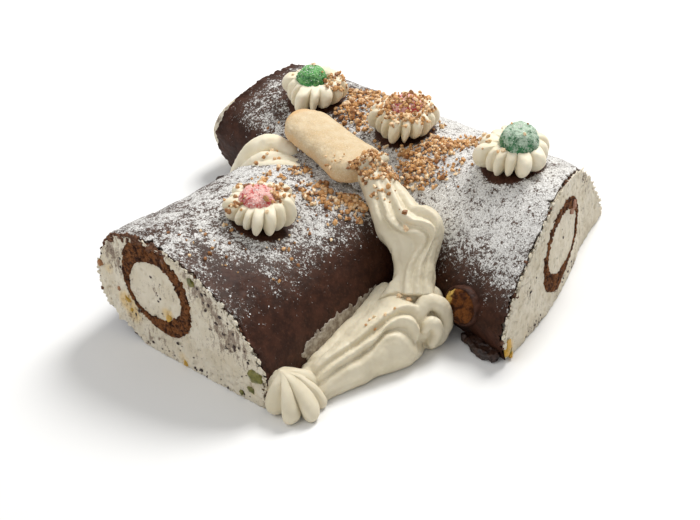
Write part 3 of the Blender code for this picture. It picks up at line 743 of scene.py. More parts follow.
    # core
    co = with_swell(side(0.3, 2))
    def disc(end, steps=26):
        kk = 0 if end == 0 else stations - 1
        whole, sec, bulge = filled[kk]
        c, a, r = tube_at(t_all[kk], whole, 0.3, 2)
        r = np.maximum(r + ragged(a, t_all[kk], 10.0, 0.8), 2.0)
        rim = polar(c, a, r)
        mid = np.tile(c, (len(a), 1)) + (rim - c) * 0.02
        return rim, mid
    a_, b_ = disc(-1)
    far_disc = relief(face_rings(-1, a_, b_, 28) + face_out * (out_far - 0.1), -1, "core")
    a_, b_ = disc(0)
    near_disc = relief(face_rings(0, b_, a_, 22) + near_dir * (out_near - 0.1), 0, "core")
    grid = np.concatenate([near_disc, co[1:-1], far_disc])
    verts, faces = capped(grid)
    stain, warm = stain_rule(verts)
    piece(prefix + "_core", verts, faces, M_FACE, (node + "_core",),
          attrs={"stain": stain * 0.8, "warm": warm})
    return skin, n


def spots(p, marks):
    """Sum of soft spots: each mark is (x, y, z, radius, strength)."""
    out = np.zeros(len(p))
    for x, y, z, r, s in marks:
        d = np.linalg.norm((p - np.array([x, y, z])), axis=1) / r
        out += s * np.exp(-d * d * 1.6)
    return out


def on_branch(s, z, out=0.6):
    b = math.radians(BRANCH_FACE["bearing"])
    return (BRANCH_FACE["foot"][0] + s * math.cos(b) + out * math.sin(b),
            BRANCH_FACE["foot"][1] + s * math.sin(b) - out * math.cos(b), z)


def on_main(s, z, out=0.6):
    b = math.radians(MAIN_RIGHT["bearing"])
    out = out + 5.0 * math.sin(math.pi * min(max(s / 110.0, 0), 1))
    return (MAIN_RIGHT["foot"][0] + s * math.cos(b) + out * math.sin(b),
            MAIN_RIGHT["foot"][1] + s * math.sin(b) - out * math.cos(b), z)


def branch_stains(p):
    marks = [(*on_branch(-26, 49), 8, 0.75), (*on_branch(-30, 55), 6, 0.6),
             (*on_branch(48, 43), 9, 0.75), (*on_branch(59, 37), 9, 0.8), (*on_branch(40, 53), 8, 0.7),
             (*on_branch(52, 30), 8, 0.55), (*on_branch(66, 26), 7, 0.6), (*on_branch(-14, 17), 8, 0.6),
             (*on_branch(-20, 22), 6, 0.5), (*on_branch(6, 45), 6, 0.35), (*on_branch(34, 57), 6, 0.5),
             (*on_branch(0, 8), 10, 0.35), (*on_branch(30, 62), 6, 0.6)]
    stain = spots(p, marks) * (0.55 + 0.9 * step(-0.15, 0.5, N2(p * np.array([1, 1, 0.4]) / 3.0)))
    stain += 0.35 * (1 - step(0.5, 3.0, p[:, 2])) * step(-0.2, 0.4, N3(p / 4.0))
    stain += 0.16
    warm = spots(p, [(*on_branch(-20, 24), 9, 0.9), (*on_branch(-14, 16), 7, 0.6), (*on_branch(11, 30), 6, 0.8),
                     (*on_branch(-32, 40), 6, 0.5), (*on_branch(20, 5), 8, 0.5), (*on_branch(70, 8), 9, 0.4)])
    return stain, warm


def main_stains_and_foot_shade(p):
    # the spots at heights 3 to 4 mm along the foot are brown coat bits and painted shade along the face's foot line
    marks = [(*on_main(112, 47), 9, 0.5), (*on_main(120, 34), 8, 0.4), (*on_main(108, 20), 9, 0.35),
             (*on_main(60, 4), 9, 0.5), (*on_main(90, 3), 9, 0.5), (*on_main(30, 3), 9, 0.5),
             (*on_main(20, 30), 8, 0.3), (-62, 90, 30, 26, 0.55)]
    stain = spots(p, marks) * (0.5 + 0.8 * step(-0.1, 0.5, N2(p * np.array([1, 1, 0.4]) / 3.0)))
    # darker in the lowest 2.5 mm: coat bits and painted shade where the face meets the table
    stain += 0.3 * (1 - step(0.5, 2.5, p[:, 2])) * step(-0.2, 0.4, N3(p / 4.0)) + 0.10
    warm = spots(p, [(*on_main(2, 6), 8, 0.8), (*on_main(20, 3), 8, 0.4)])
    return stain, warm


def clear_of_rosette_shade(p):
    """1 away from the rosettes, 0 in the bare ring under them: painted contact shade under each rosette, partly also
    coat that the rosette kept free of sugar.
    """
    out = np.ones(p.shape[:-1])
    for item in ROSETTES:
        d = np.hypot(p[..., 0] - item[2][0], p[..., 1] - item[2][1])
        # the dark bare chocolate in this ring is painted shade under the rosette's rim
        out *= step(15.5 * item[4], 19.0 * item[4], d)
    return out


def branch_sugar(p, n, u, length):
    up = step(0.50, 0.93, n[..., 2])
    back = step(0.0, 0.2, -(n[..., 0]))                       # the far-left side: computed but not used
    patches = 0.5 + 0.5 * fbm(N1, p / 17.0, 3)
    fine = fbm(N2, p / 5.0, 2)
    s = up * (0.76 + 0.46 * (patches - 0.5) * 2 + 0.20 * fine)
    # thinner over a worn band and where the right shoulder turns down
    s *= 1 - 0.35 * np.exp(-(((p[..., 0] + 45) / 20) ** 2 + ((p[..., 1] + 96) / 15) ** 2))
    s *= 1 - 0.62 * np.exp(-(((p[..., 0] + 61) / 17) ** 2 + ((p[..., 1] + 104) / 12) ** 2))
    s *= 0.86 + 0.22 * step(-110, -40, p[..., 1])
    s += up * 0.30 * np.exp(-(((p[..., 0] + 12) / 20) ** 2 + ((p[..., 1] + 28) / 16) ** 2))
    s += 0.03 * step(0.2, 0.6, n[..., 2])
    # no sugar in the ring under each rosette: painted shade there
    return np.clip(s * clear_of_rosette_shade(p), 0, 1)


def main_sugar(p, n, u, length):
    up = step(0.42, 0.86, n[..., 2])
    patches = 0.5 + 0.5 * fbm(N1, p / 19.0 + 5.0, 3)
    along = step(0.22, 0.52, (u / length)[:, None] * np.ones(p.shape[:-1]))
    heavy = 1.0 + 0.26 * (patches - 0.5) * 2
    light = 0.54 + 0.36 * (patches - 0.5) * 2
    s = up * (light * (1 - along) + heavy * along)
    s *= step(-0.02, 0.06, (u / length)[:, None] * np.ones(p.shape[:-1]))
    s += (0.02 + 0.12 * (1 - along) * (0.6 + 0.8 * (patches - 0.5))) * step(-0.05, 0.45, n[..., 2])
    # no sugar in the ring under each rosette: painted shade there
    return np.clip(s * clear_of_rosette_shade(p), 0, 1)


MAIN_SKIN, MAIN_N = log_pieces("log", "main", MAIN_LEFT, MAIN_RIGHT, MAIN_LEFT_TUBE, MAIN_RIGHT_TUBE,
                               9.5, 5.0, main_sugar, main_stains_and_foot_shade, 0.75)
BRANCH_SKIN, BRANCH_N = log_pieces("limb", "branch", BRANCH_REAR, BRANCH_FACE, BRANCH_REAR_TUBE, BRANCH_FACE_TUBE,
                                   0.0, 0.0, branch_sugar, branch_stains, 1.0)


# ---------------------------------------------------------------- dropping things onto what is there
def tree_of(names=None):
    verts, faces, base = [], [], 0
    for name, v, f in TARGETS:
        if names is None or name in names:
            verts.append(v)
            faces += [[base + i for i in q] for q in (f.tolist() if hasattr(f, "tolist") else f)]
            base += len(v)
    return BVHTree.FromPolygons(np.vstack(verts).tolist(), faces)


COATS = tree_of(("log_coat", "limb_coat"))


def ground_at(x, y, tree=None):
    hit = (tree or COATS).ray_cast(Vector((x, y, 200.0)), Vector((0, 0, -1)))
    return (hit[0].z, np.array(hit[1])) if hit[0] is not None else (0.0, np.array([0, 0, 1.0]))


# ---------------------------------------------------------------- piped cream
def tube_mesh(path, radii, sides=20, per_span=10, squash=1.0):
    """A closed round rope along a path, as points and faces."""
    line = catmull(path, per_span)
    n = len(line)
    radius = np.interp(np.linspace(0, 1, n), np.linspace(0, 1, len(radii)), radii)
    ahead = np.gradient(line, axis=0)
    ahead /= np.linalg.norm(ahead, axis=1)[:, None]
    side = np.cross(ahead, np.array([0.13, 0.07, 1.0]))
    side /= np.linalg.norm(side, axis=1)[:, None]
    up = np.cross(side, ahead)
    # round ends
    rings = []
    for k in range(n):
        for_end = 1.0
        rings.append((line[k], side[k], up[k], radius[k] * for_end))
    extra_a, extra_b = [], []
    for q in (0.35, 0.7, 0.93):
        extra_a.append((line[0] - ahead[0] * radius[0] * q, side[0], up[0], radius[0] * math.sqrt(1 - q * q)))
        extra_b.append((line[-1] + ahead[-1] * radius[-1] * q, side[-1], up[-1], radius[-1] * math.sqrt(1 - q * q)))
    rings = extra_a[::-1] + rings + extra_b
    a = np.linspace(0, 2 * np.pi, sides, endpoint=False)
    grid = np.array([c + r * (np.cos(a)[:, None] * s + squash * np.sin(a)[:, None] * w) for c, s, w, r in rings])
    return capped(grid)


def merged(parts, name, voxel, smooth_steps, mat):
    """Ropes joined into one closed skin with soft valleys."""
    verts, faces, base = [], [], 0
    for v, f in parts:
        verts.append(v)
        faces += [[base + i for i in q] for q in f]
        base += len(v)
    mesh = bpy.data.meshes.new(name + "_parts")
    mesh.from_pydata((np.vstack(verts) * 0.001).tolist(), [], faces)
    temp = bpy.data.objects.new(name + "_parts", mesh)
    bpy.context.scene.collection.objects.link(temp)
    mod = temp.modifiers.new("remesh", "REMESH")
    mod.mode = "VOXEL"
    mod.voxel_size = voxel * 0.001
    mod.adaptivity = 0.0
    if smooth_steps:
        sm = temp.modifiers.new("smooth", "SMOOTH")
        sm.factor = 0.5
        sm.iterations = smooth_steps
    bpy.context.view_layer.update()
    dg = bpy.context.evaluated_depsgraph_get()
    made = bpy.data.meshes.new_from_object(temp.evaluated_get(dg))
    co = np.empty(len(made.vertices) * 3, np.float32)
    made.vertices.foreach_get("co", co)
    faces = [list(p.vertices) for p in made.polygons]
    bpy.data.objects.remove(temp, do_unlink=True)
    bpy.data.meshes.remove(mesh)
    bpy.data.meshes.remove(made)
    return co.reshape(-1, 3).astype(float) * 1000, faces


VIEW = np.array([0.05, -0.72, 0.69])     # out of the cake, up and to the front


def strand(points, radius, sink, direction=VIEW):
    p = np.array(points, float)
    p = p - np.asarray(direction) * sink
    return tube_mesh(p, radius if isinstance(radius, (list, tuple)) else [radius] * 2)


def cream_noise(v, amount=0.25):
    d = np.stack([fbm(n_, v / 5.0, 2) for n_ in (N1, N2, N3)], -1)
    return v + d * amount


def loft(paths, depth, edges, inside=9.0, stations=170, per=22):
    """A piped body whose ridges run along the paths, with sharp valleys between them."""
    rows = np.array([even(catmull(p, 12), stations) for p in paths])
    n = np.cross(np.gradient(rows, axis=0), np.gradient(rows, axis=1))
    n /= np.maximum(np.linalg.norm(n, axis=-1, keepdims=True), 1e-6)
    n *= np.sign((n * VIEW).sum(-1, keepdims=True) + 1e-9)
    n = 0.55 * n + 0.45 * VIEW / np.linalg.norm(VIEW)
    n /= np.linalg.norm(n, axis=-1, keepdims=True)
    deep = np.interp(np.linspace(0, 1, stations), np.linspace(0, 1, len(depth)), depth)[:, None]
    ring = []
    for i in range(len(rows) - 1):
        plain_side = i < edges or i >= len(rows) - 1 - edges
        for q in np.linspace(0, 1, per, endpoint=False):
            at = rows[i] * (1 - q) + rows[i + 1] * q
            nn = n[i] * (1 - q) + n[i + 1] * q
            off = 1.0 * math.sin(math.pi * q) if plain_side else -deep * (1 - abs(math.cos(math.pi * q)) ** 0.85)
            ring.append(at + nn * off)
    ring.append(rows[-1])
    for q in np.linspace(0, 1, 12)[1:-1]:
        ring.append(rows[-1] * (1 - q) + rows[0] * q - VIEW * inside * math.sin(math.pi * q))
    return capped(np.array(ring).transpose(1, 0, 2))


def moved(path, by):
    return [tuple(np.array(q) + np.array(by)) for q in path]


def base_parts():
    upper = [(-31.2, -111.1, 8.0), (-25.0, -116.7, 12.0), (-19.2, -116.5, 16.0), (-10.1, -108.0, 18.0), (-2.4, -97.2, 20.0),
             (4.1, -92.5, 22.0), (10.8, -84.8, 25.0), (16.4, -77.9, 28.0), (20.9, -72.9, 28.0)]
    ridges = [
        [(-25.0, -126.6, 12.0), (-18.7, -125.0, 18.0), (-11.3, -120.8, 21.5), (-0.6, -113.2, 24.0), (8.0, -107.0, 27.2), (16.7, -100.9, 30.0),
         (25.3, -95.8, 31.5), (31.6, -94.3, 30.0), (35.8, -94.6, 26.0)],
        [(-22.1, -130.1, 10.0), (-15.8, -129.0, 15.8), (-7.3, -123.7, 19.0), (3.4, -116.6, 21.8), (11.9, -111.6, 24.0), (18.5, -105.4, 27.2),
         (26.0, -102.4, 28.2), (31.6, -103.2, 25.5), (34.6, -104.0, 19.0)],
        [(-20.3, -133.9, 8.0), (-14.0, -131.9, 10.0), (-6.6, -127.9, 13.0), (2.9, -123.0, 14.6), (9.4, -118.0, 17.4), (13.9, -112.5, 20.6),
         (20.3, -109.8, 22.0), (25.4, -110.4, 19.0), (28.9, -111.6, 13.0), (32.2, -110.0, 8.0)],
        [(-20.6, -136.6, 3.5), (-14.2, -132.4, 4.4), (-6.3, -128.3, 5.6), (2.6, -124.6, 6.0), (8.1, -120.4, 9.0), (13.3, -120.0, 10.4),
         (17.7, -116.2, 11.0), (25.0, -114.0, 8.6), (31.0, -108.8, 5.8), (35.0, -103.0, 5.0)]]
    lower = [(-20.7, -137.0, 0.0), (-14.4, -132.4, 0.0), (-6.4, -127.2, 0.0), (3.7, -121.6, 0.0), (10.2, -116.6, 0.0), (16.7, -113.6, 0.0),
             (23.1, -111.4, 0.0), (29.5, -106.8, 0.0), (34.5, -101.1, 0.0), (37.1, -93.7, 0.0)]
    s = [loft([moved(upper, (-5, 7, -4))] + [upper] + ridges + [lower], [2.4, 3.6, 4.4, 5.2, 5.6, 4.0], 2, 6.0)]
    s.append(tube_mesh([(-27, -126, 8), (-14, -116, 8), (0, -105, 10), (14, -96, 12), (26, -90, 14), (34, -88, 13)],
                       [6, 8, 10, 11.5, 12.5, 11]))
    # the end curls over and tucks its tip in
    s.append(strand([(33.6, -96.0, 10.0), (33.8, -95.4, 19.0), (35.6, -93.5, 26.0), (39.0, -90.8, 29.4), (43.6, -90.0, 27.6),
                     (47.4, -89.2, 21.6), (48.0, -89.4, 13.6), (45.0, -91.4, 7.0), (39.8, -94.4, 5.0)],
                    [3.8, 4.2, 4.6, 4.8, 4.8, 4.8, 4.6, 4.4, 4.4], 2.6))
    s.append(strand([(36.8, -99.6, 17.5), (39.6, -98.4, 20.4), (42.6, -96.8, 18.6), (43.2, -96.2, 13.0), (40.6, -97.6, 7.0)],
                    [2.4, 3.4, 3.8, 3.8, 3.2], 0.6))
    s.append(strand([(28, -82, 26), (36, -79, 25), (41, -77, 22), (44, -78, 16)], [5.5, 6, 6.5, 6], 3.0))
    s.append(tube_mesh([(30, -88, 12), (38, -84, 13), (43, -81, 12)], [9, 9.5, 8]))
    return s


def front_parts():
    left = [(3.5, -25.5, 69.5), (6.0, -31.5, 66.0), (8.1, -36.4, 61.0), (10.4, -43.7, 58.2), (12.7, -51.8, 54.1), (14.5, -56.5, 48.7), (19.6, -60.4, 44.0),
            (22.0, -65.3, 39.6), (22.3, -69.8, 36.3), (21.5, -74.7, 32.7), (17.5, -78.7, 30.0), (13.0, -84.1, 27.0)]
    ridges = [
        [(6.6, -26.6, 75.0), (9.6, -33.4, 71.0), (11.8, -40.2, 66.0), (13.5, -50.9, 62.0), (15.3, -57.3, 58.0), (17.2, -60.6, 53.2), (20.6, -64.4, 48.6),
         (24.0, -69.5, 43.6), (24.8, -73.9, 40.2), (24.0, -78.9, 36.0), (22.1, -84.3, 32.0)],
        [(10.6, -26.0, 77.6), (13.8, -34.6, 73.2), (17.0, -45.2, 67.8), (18.7, -54.6, 65.0), (20.0, -61.0, 62.0), (23.0, -64.4, 59.4), (28.1, -66.8, 57.4),
         (33.9, -68.0, 57.0), (38.0, -69.4, 55.2), (37.3, -71.6, 51.4), (34.0, -74.0, 48.2), (31.2, -76.7, 45.0), (28.8, -80.1, 41.1),
         (28.0, -84.8, 36.8), (27.7, -88.8, 33.4)],
        [(14.4, -24.0, 77.4), (18.4, -33.8, 73.0), (23.5, -43.7, 69.0), (26.2, -53.6, 67.0), (28.5, -60.6, 65.2), (32.6, -63.8, 63.2), (38.9, -64.7, 62.6),
         (43.5, -66.8, 60.4), (44.4, -69.4, 56.0), (42.1, -72.0, 52.1), (39.2, -75.1, 48.0), (36.3, -79.0, 43.8), (34.9, -84.3, 38.7),
         (34.0, -89.4, 33.8)],
        [(17.6, -20.6, 75.4), (22.0, -28.6, 71.6), (25.9, -37.6, 68.2), (30.8, -46.5, 66.5), (33.1, -53.4, 65.4), (38.9, -55.7, 65.6), (43.4, -58.9, 64.6),
         (46.3, -63.2, 61.2), (45.6, -66.6, 56.5), (43.7, -70.5, 50.9), (41.3, -74.8, 45.7), (39.9, -79.3, 41.3), (39.6, -84.1, 36.9),
         (39.3, -88.9, 32.8)]]
    right = [(20.0, -16.0, 69.5), (24.6, -24.0, 65.6), (27.7, -31.1, 63.8), (33.2, -39.9, 61.8), (36.6, -46.4, 60.6), (42.9, -48.9, 60.0), (46.9, -53.0, 58.6),
             (49.3, -57.5, 54.6), (47.9, -61.9, 49.0), (45.5, -66.3, 44.0), (43.6, -70.5, 39.7), (43.3, -75.2, 35.3), (42.4, -80.1, 31.1),
             (42.1, -86.1, 28.0)]
    s = [loft([moved(left, (0, 7, -7))] + [left] + ridges + [right] + [moved(right, (0, 6, -10))], [1.8, 2.4, 3.2, 3.8, 3.6, 2.6, 1.8], 2, 7.0)]
    s.append(tube_mesh([(12, -27, 60), (17, -38, 58), (22, -48, 55), (27, -56, 50), (31, -64, 42), (31, -71, 34), (30, -77, 27), (28, -82, 21)],
                       [5, 6, 7, 8, 8.5, 8.5, 8.5, 8]))
    # cream heaped over the biscuit's lower end
    s.append(strand([(7.5, -28.5, 73), (10.5, -26.5, 77.4), (13.5, -24.5, 78.4)], [2.6, 3.6, 2.4], 1.2))
    s.append(strand([(15.0, -27.5, 75.6), (18.0, -23.6, 75.8), (20.4, -19.0, 72)], [3.0, 3.6, 2.4], 1.2))
    s.append(tube_mesh([(10, -26, 68), (14, -32, 66), (18, -38, 62)], [6.5, 7.5, 7.5]))
    return s


def back_parts():
    body = tube_mesh([(-58, 32, 34), (-50, 24, 41), (-40, 15, 45), (-30, 6, 47), (-20, 3, 47)], [6, 9, 10, 10, 8])
    s = [body]
    s.append(strand([(-63, 24, 37), (-59.0, 20, 46), (-55.0, 18.5, 53), (-50.0, 18.5, 58.0), (-44.5, 18.0, 60.4), (-38.0, 16.0, 60.4), (-31, 11, 58)],
                    [4.2, 5.0, 5.6, 5.8, 5.8, 5.4, 4.6], 3.4))
    s.append(strand([(-57, 13, 46), (-52.5, 8.5, 53.0), (-46.5, 6.6, 57.4), (-40, 3.6, 59.4), (-33.5, 0.0, 59.8), (-27, -5.0, 59)],
                    [4.2, 4.8, 5.0, 4.8, 4.6, 4.2], 3.2))
    s.append(strand([(-50.5, 2.5, 55.0), (-44.5, -1.5, 58.0), (-37.6, -4.4, 60.0), (-31.2, -7.4, 60.8), (-26.0, -11.4, 60.6), (-22.4, -15.6, 59.6)],
                    [3.2, 3.8, 4.2, 4.2, 4.0, 3.4], 2.4))
    s.append(strand([(-60, 34, 30), (-56, 30, 39), (-50, 26, 45), (-42, 20, 50), (-34, 13, 52)], [5, 6, 6.4, 6.4, 6], 2.6))
    return s


for name, parts, node, voxel in (("piped_base", base_parts(), "cream_base", 0.6),
                                 ("piped_front", front_parts(), "cream_front", 0.6),
                                 ("piped_back", back_parts(), "cream_back", 0.65)):
    v, f = merged(parts, name, voxel, 1, M_PIPED)
    v = cream_noise(v, 0.40)
    v += 0.55 * np.stack([fbm(n_, v / 13.0 + 3.0, 2) for n_ in (N4, N1, N2)], -1)
    v += 0.12 * np.stack([n_(v / 1.7) for n_ in (N2, N3, N4)], -1)
    v[:, 2] = np.maximum(v[:, 2], 0.05)
    # the base and front strips take the darker copy of the cream: painted shade
    piece(name, v, f, M_PIPED_SHADED if name != "piped_back" else M_PIPED, (node,))


def fluted(rings, around, flutes, seed, profile, centre, radius, height, turn, depth, lean=(0, 0), twist=0.35, points=0.0, skew=0.85):
    """A piped star: round lobes with sharp valleys between them, its foot drawn to points."""
    rng = np.random.default_rng(seed)
    a = np.linspace(0, 2 * np.pi, around, endpoint=False)
    prof = even(catmull(profile, 14), rings)
    reach = rng.uniform(0.86, 1.10, flutes)
    drop = rng.uniform(0.0, 1.0, flutes)
    widths = rng.uniform(0.70, 1.35, flutes)
    power = rng.uniform(0.55, 1.0, flutes)
    edges = np.concatenate([[0], np.cumsum(widths)]) / widths.sum() * 2 * np.pi
    which = np.clip(np.searchsorted(edges, a, side="right") - 1, 0, flutes - 1)
    inside = (a - edges[which]) / (edges[which + 1] - edges[which])        # 0..1 across a lobe
    lobe = np.abs(np.sin(np.pi * inside ** skew)) ** power[which]
    smooth = np.clip(np.sin(np.pi * inside) * 2.2, 0, 1)
    nearby = np.roll(reach, 1)
    own = reach[which] * smooth + 0.5 * (reach[which] + nearby[which]) * (1 - smooth)
    grid = np.zeros((rings, around, 3))
    length = np.linspace(0, 1, rings)
    for k in range(rings):
        share, up = prof[k]
        d = depth * np.clip(share / 0.55, 0, 1)
        r = radius * share * (1 - d * (1 - lobe)) * (1 + (own - 1) * min(1.0, share * 1.2))
        low = (1 - length[k]) ** 2
        z = height * (up + points * low * (1 - lobe) * 0.5 - points * low * 0.12 * drop[which])
        r = r * (1 - 0.18 * points * low * (1 - lobe))
        ang = a + math.radians(turn) + twist * length[k]
        grid[k, :, 0] = centre[0] + r * np.cos(ang) + lean[0] * up
        grid[k, :, 1] = centre[1] + r * np.sin(ang) + lean[1] * up
        grid[k, :, 2] = centre[2] + z
    return grid


STAR = fluted(90, 360, 8, 5, [(0.62, 0.0), (0.92, 0.05), (1.04, 0.17), (1.02, 0.36), (0.84, 0.60), (0.52, 0.82), (0.20, 0.965), (0.02, 1.06)],
              (-30.8, -136.0, 0.0), 18.2, 22.6, 8, 0.36, (-8.0, 0.5), 0.55, 0.45, 0.62)
STAR = STAR + 0.25 * np.stack([fbm(n_, STAR / 6.0, 2) for n_ in (N1, N2, N3)], -1)
STAR[..., 2] = np.maximum(STAR[..., 2], 0.05)
v, f = capped(STAR)
# the star takes the darker copy of the cream: painted shade
piece("piped_star", v, f, M_PIPED_SHADED, ("cream_star",))

ROSE_PROFILE = [(0.50, 0.0), (0.70, 0.06), (0.90, 0.24), (1.0, 0.48), (1.0, 0.70), (0.90, 0.90), (0.72, 1.0), (0.50, 0.98), (0.25, 0.84), (0.03, 0.80)]
for name, node, place_, turn, size, candy, candy_node, offset, radius, tall, flutes, seed in ROSETTES:
    g, _ = ground_at(*place_)
    grid = fluted(80, 420, flutes, seed, ROSE_PROFILE, (*place_, g + 0.4), 20.2 * size, 15.4 * size, turn, 0.26,
                  twist=0.30, points=0.55)
    grid = grid + 0.35 * np.stack([fbm(n_, grid / 5.0, 2) for n_ in (N2, N3, N4)], -1)
    # the foot follows the coat, less and less above
    low = (grid[..., 2] - grid[..., 2].min()) / (grid[..., 2].max() - grid[..., 2].min())
    plan = np.array([[ground_at(x, y)[0] for x, y in row[::6, :2]] for row in grid[::8]])
    full = np.empty(grid.shape[:2])
    kr = np.linspace(0, plan.shape[0] - 1, grid.shape[0])
    kc = np.arange(grid.shape[1]) / 6.0
    for k in range(grid.shape[0]):
        a0 = int(min(kr[k], plan.shape[0] - 2))
        row = plan[a0] * (1 - (kr[k] - a0)) + plan[a0 + 1] * (kr[k] - a0)
        full[k] = np.interp(kc, np.arange(len(row) + 1), np.append(row, row[0]))
    grid[..., 2] += (full - g) * (1 - low) ** 1.2
    v, f = capped(grid)
    piece(name, v, f, M_PIPED, (node,))
    # the jelly sweet, sunk in the middle
    cz = g + 0.4 + 15.4 * size - 5.0
    rng = np.random.default_rng(seed + 100)
    rings, around = 60, 120
    prof = even(catmull([(0.80, 0.0), (0.98, 0.14), (1.0, 0.36), (0.88, 0.66), (0.62, 0.90), (0.30, 0.985), (0.02, 1.0)], 12), rings)
    a = np.linspace(0, 2 * np.pi, around, endpoint=False)
    c = (place_[0] + offset[0], place_[1] + offset[1], cz)
    grid = np.array([[(c[0] + radius * s * math.cos(x), c[1] + radius * s * math.sin(x), c[2] + tall * up) for x in a]
                     for s, up in prof])
    nn = normals_of(grid)
    if (nn[rings // 2] * (grid[rings // 2] - np.array([c[0], c[1], c[2]]))).sum() < 0:
        nn = -nn
    bumpy = 0.9 * fbm(N1, grid / 6.0 + seed, 2) + 0.35 * fbm(N2, grid / 1.6, 2) + 0.25 * N3(grid / 0.9)
    grid = grid + nn * bumpy[..., None]
    v, f = capped(grid)
    frost = np.clip(0.22 + 0.55 * (v[:, 2] - cz) / tall + 0.7 * fbm(N4, v / 3.0 + seed, 2), 0, 1)
    piece(candy, v, f, {"jelly_green_left": M_GREEN_DEEP, "jelly_green_right": M_GREEN}.get(candy, M_RED),
          (candy_node,), attrs={"frost": frost})

# ---------------------------------------------------------------- ladyfinger
half_l, half_w, half_t = 38.5, 15.5, 7.5
stations, around = 150, 120
rings = []
for k in range(stations):
    a = math.pi * (k + 0.5) / stations
    along = -math.cos(a) * half_l
    reach = max(0.0, abs(along) - (half_l - half_w))
    w = math.sqrt(max(half_w ** 2 - reach ** 2, (0.10 * half_w) ** 2))
    w *= (1 - 0.05 * math.cos(math.pi * along / half_l)) * (1 + 0.11 * along / half_l)
    t = half_t * (0.40 + 0.60 * (w / half_w) ** 0.8)
    q = np.linspace(0, 2 * np.pi, around, endpoint=False)
    x = w * np.sign(np.cos(q)) * np.abs(np.cos(q)) ** 0.78
    z = t * np.sign(np.sin(q)) * np.abs(np.sin(q)) ** np.where(np.sin(q) > 0, 0.95, 0.6)
    r = math.radians(-7.0)
    rings.append(np.column_stack([np.full(around, along * (0.77 if along > 0 else 1.0)), -1.4 * along / half_l + x * math.cos(r) - z * math.sin(r), x * math.sin(r) + z * math.cos(r)]))
local = np.array(rings)
nn = normals_of(local)
if nn[stations // 2, around // 4, 2] < 0:
    nn = -nn
wrinkle = (0.55 * fbm(N1, local / np.array([9.0, 6.0, 6.0]), 2) + 0.32 * fbm(N2, local / np.array([1.6, 4.0, 3.0]), 3)
           + 0.10 * N3(local / 0.9))
local2 = local + nn * wrinkle[..., None]
b = math.radians(-54.0)
cb, sb = math.cos(b), math.sin(b)
grid = np.stack([-6.5 + local2[..., 0] * cb - local2[..., 1] * sb, -2.5 + local2[..., 0] * sb + local2[..., 1] * cb,
                 69.5 + local2[..., 2]], -1)
v, f = capped(grid)
side_low = 1 - step(-0.2, 0.75, nn[..., 2])
end_far = 1 - step(-half_l * 0.98, -half_l * 0.62, local[..., 0])
toast = np.clip(0.40 * side_low + 0.60 * end_far + 0.30 * fbm(N4, local / 14.0, 2), 0, 1)
toast = np.append(toast.ravel(), [0.6, 0.4])
piece("finger_biscuit", v, f, M_FINGER, ("ladyfinger",), attrs={"toast": toast})

# ---------------------------------------------------------------- the stub in the long log's wall
axis = np.array([-0.74, -0.62, 0.26])
axis /= np.linalg.norm(axis)
side_v = np.cross(axis, [0, 0, 1.0])
side_v /= np.linalg.norm(side_v)
rise = np.cross(side_v, axis)
KNOT = np.array([58.0, -85.0, 21.0])


def turned(profile, rings, around, wobble, scale, seed):
    prof = even(catmull(profile, 12), rings)
    a = np.linspace(0, 2 * np.pi, around, endpoint=False)
    out = []
    for r, h in prof:
        rr = r * (1 + 0.05 * np.cos(2 * a + 0.7))
        out.append(KNOT + h * axis + (rr * np.cos(a))[:, None] * side_v + (rr * np.sin(a))[:, None] * rise)
    g = np.array(out)
    n_ = normals_of(g)
    if (n_[-3] * axis).sum() < 0:
        n_ = -n_
    return g + n_ * (wobble * fbm(N2, g / scale + seed, 3))[..., None]


v, f = capped(turned([(9.0, -8.0), (10.2, 0.0), (9.9, 3.0), (7.6, 4.6), (3.7, 5.0), (0.1, 5.2)], 60, 140, 1.3, 3.0, 0.0))
pale = np.clip(step(2.0, 7.0, -((v - KNOT) @ np.cross(axis, rise)) * (1 if np.cross(axis, rise)[0] > 0 else -1) + 1.2 * fbm(N3, v / 3.0, 2)), 0, 1)
piece("stub_biscuit", v, f, M_STUB, ("knot_biscuit",), attrs={"pale": pale})
v, f = capped(turned([(10.8, -7.0), (11.8, -1.0), (11.5, 1.8), (10.8, 2.8), (9.8, 2.4), (9.2, 0.6), (8.8, -2.0), (8.6, -5.0)], 50, 120, 0.9, 4.0, 4.0))
piece("stub_rim", v, f, M_STUB_RIM, None)


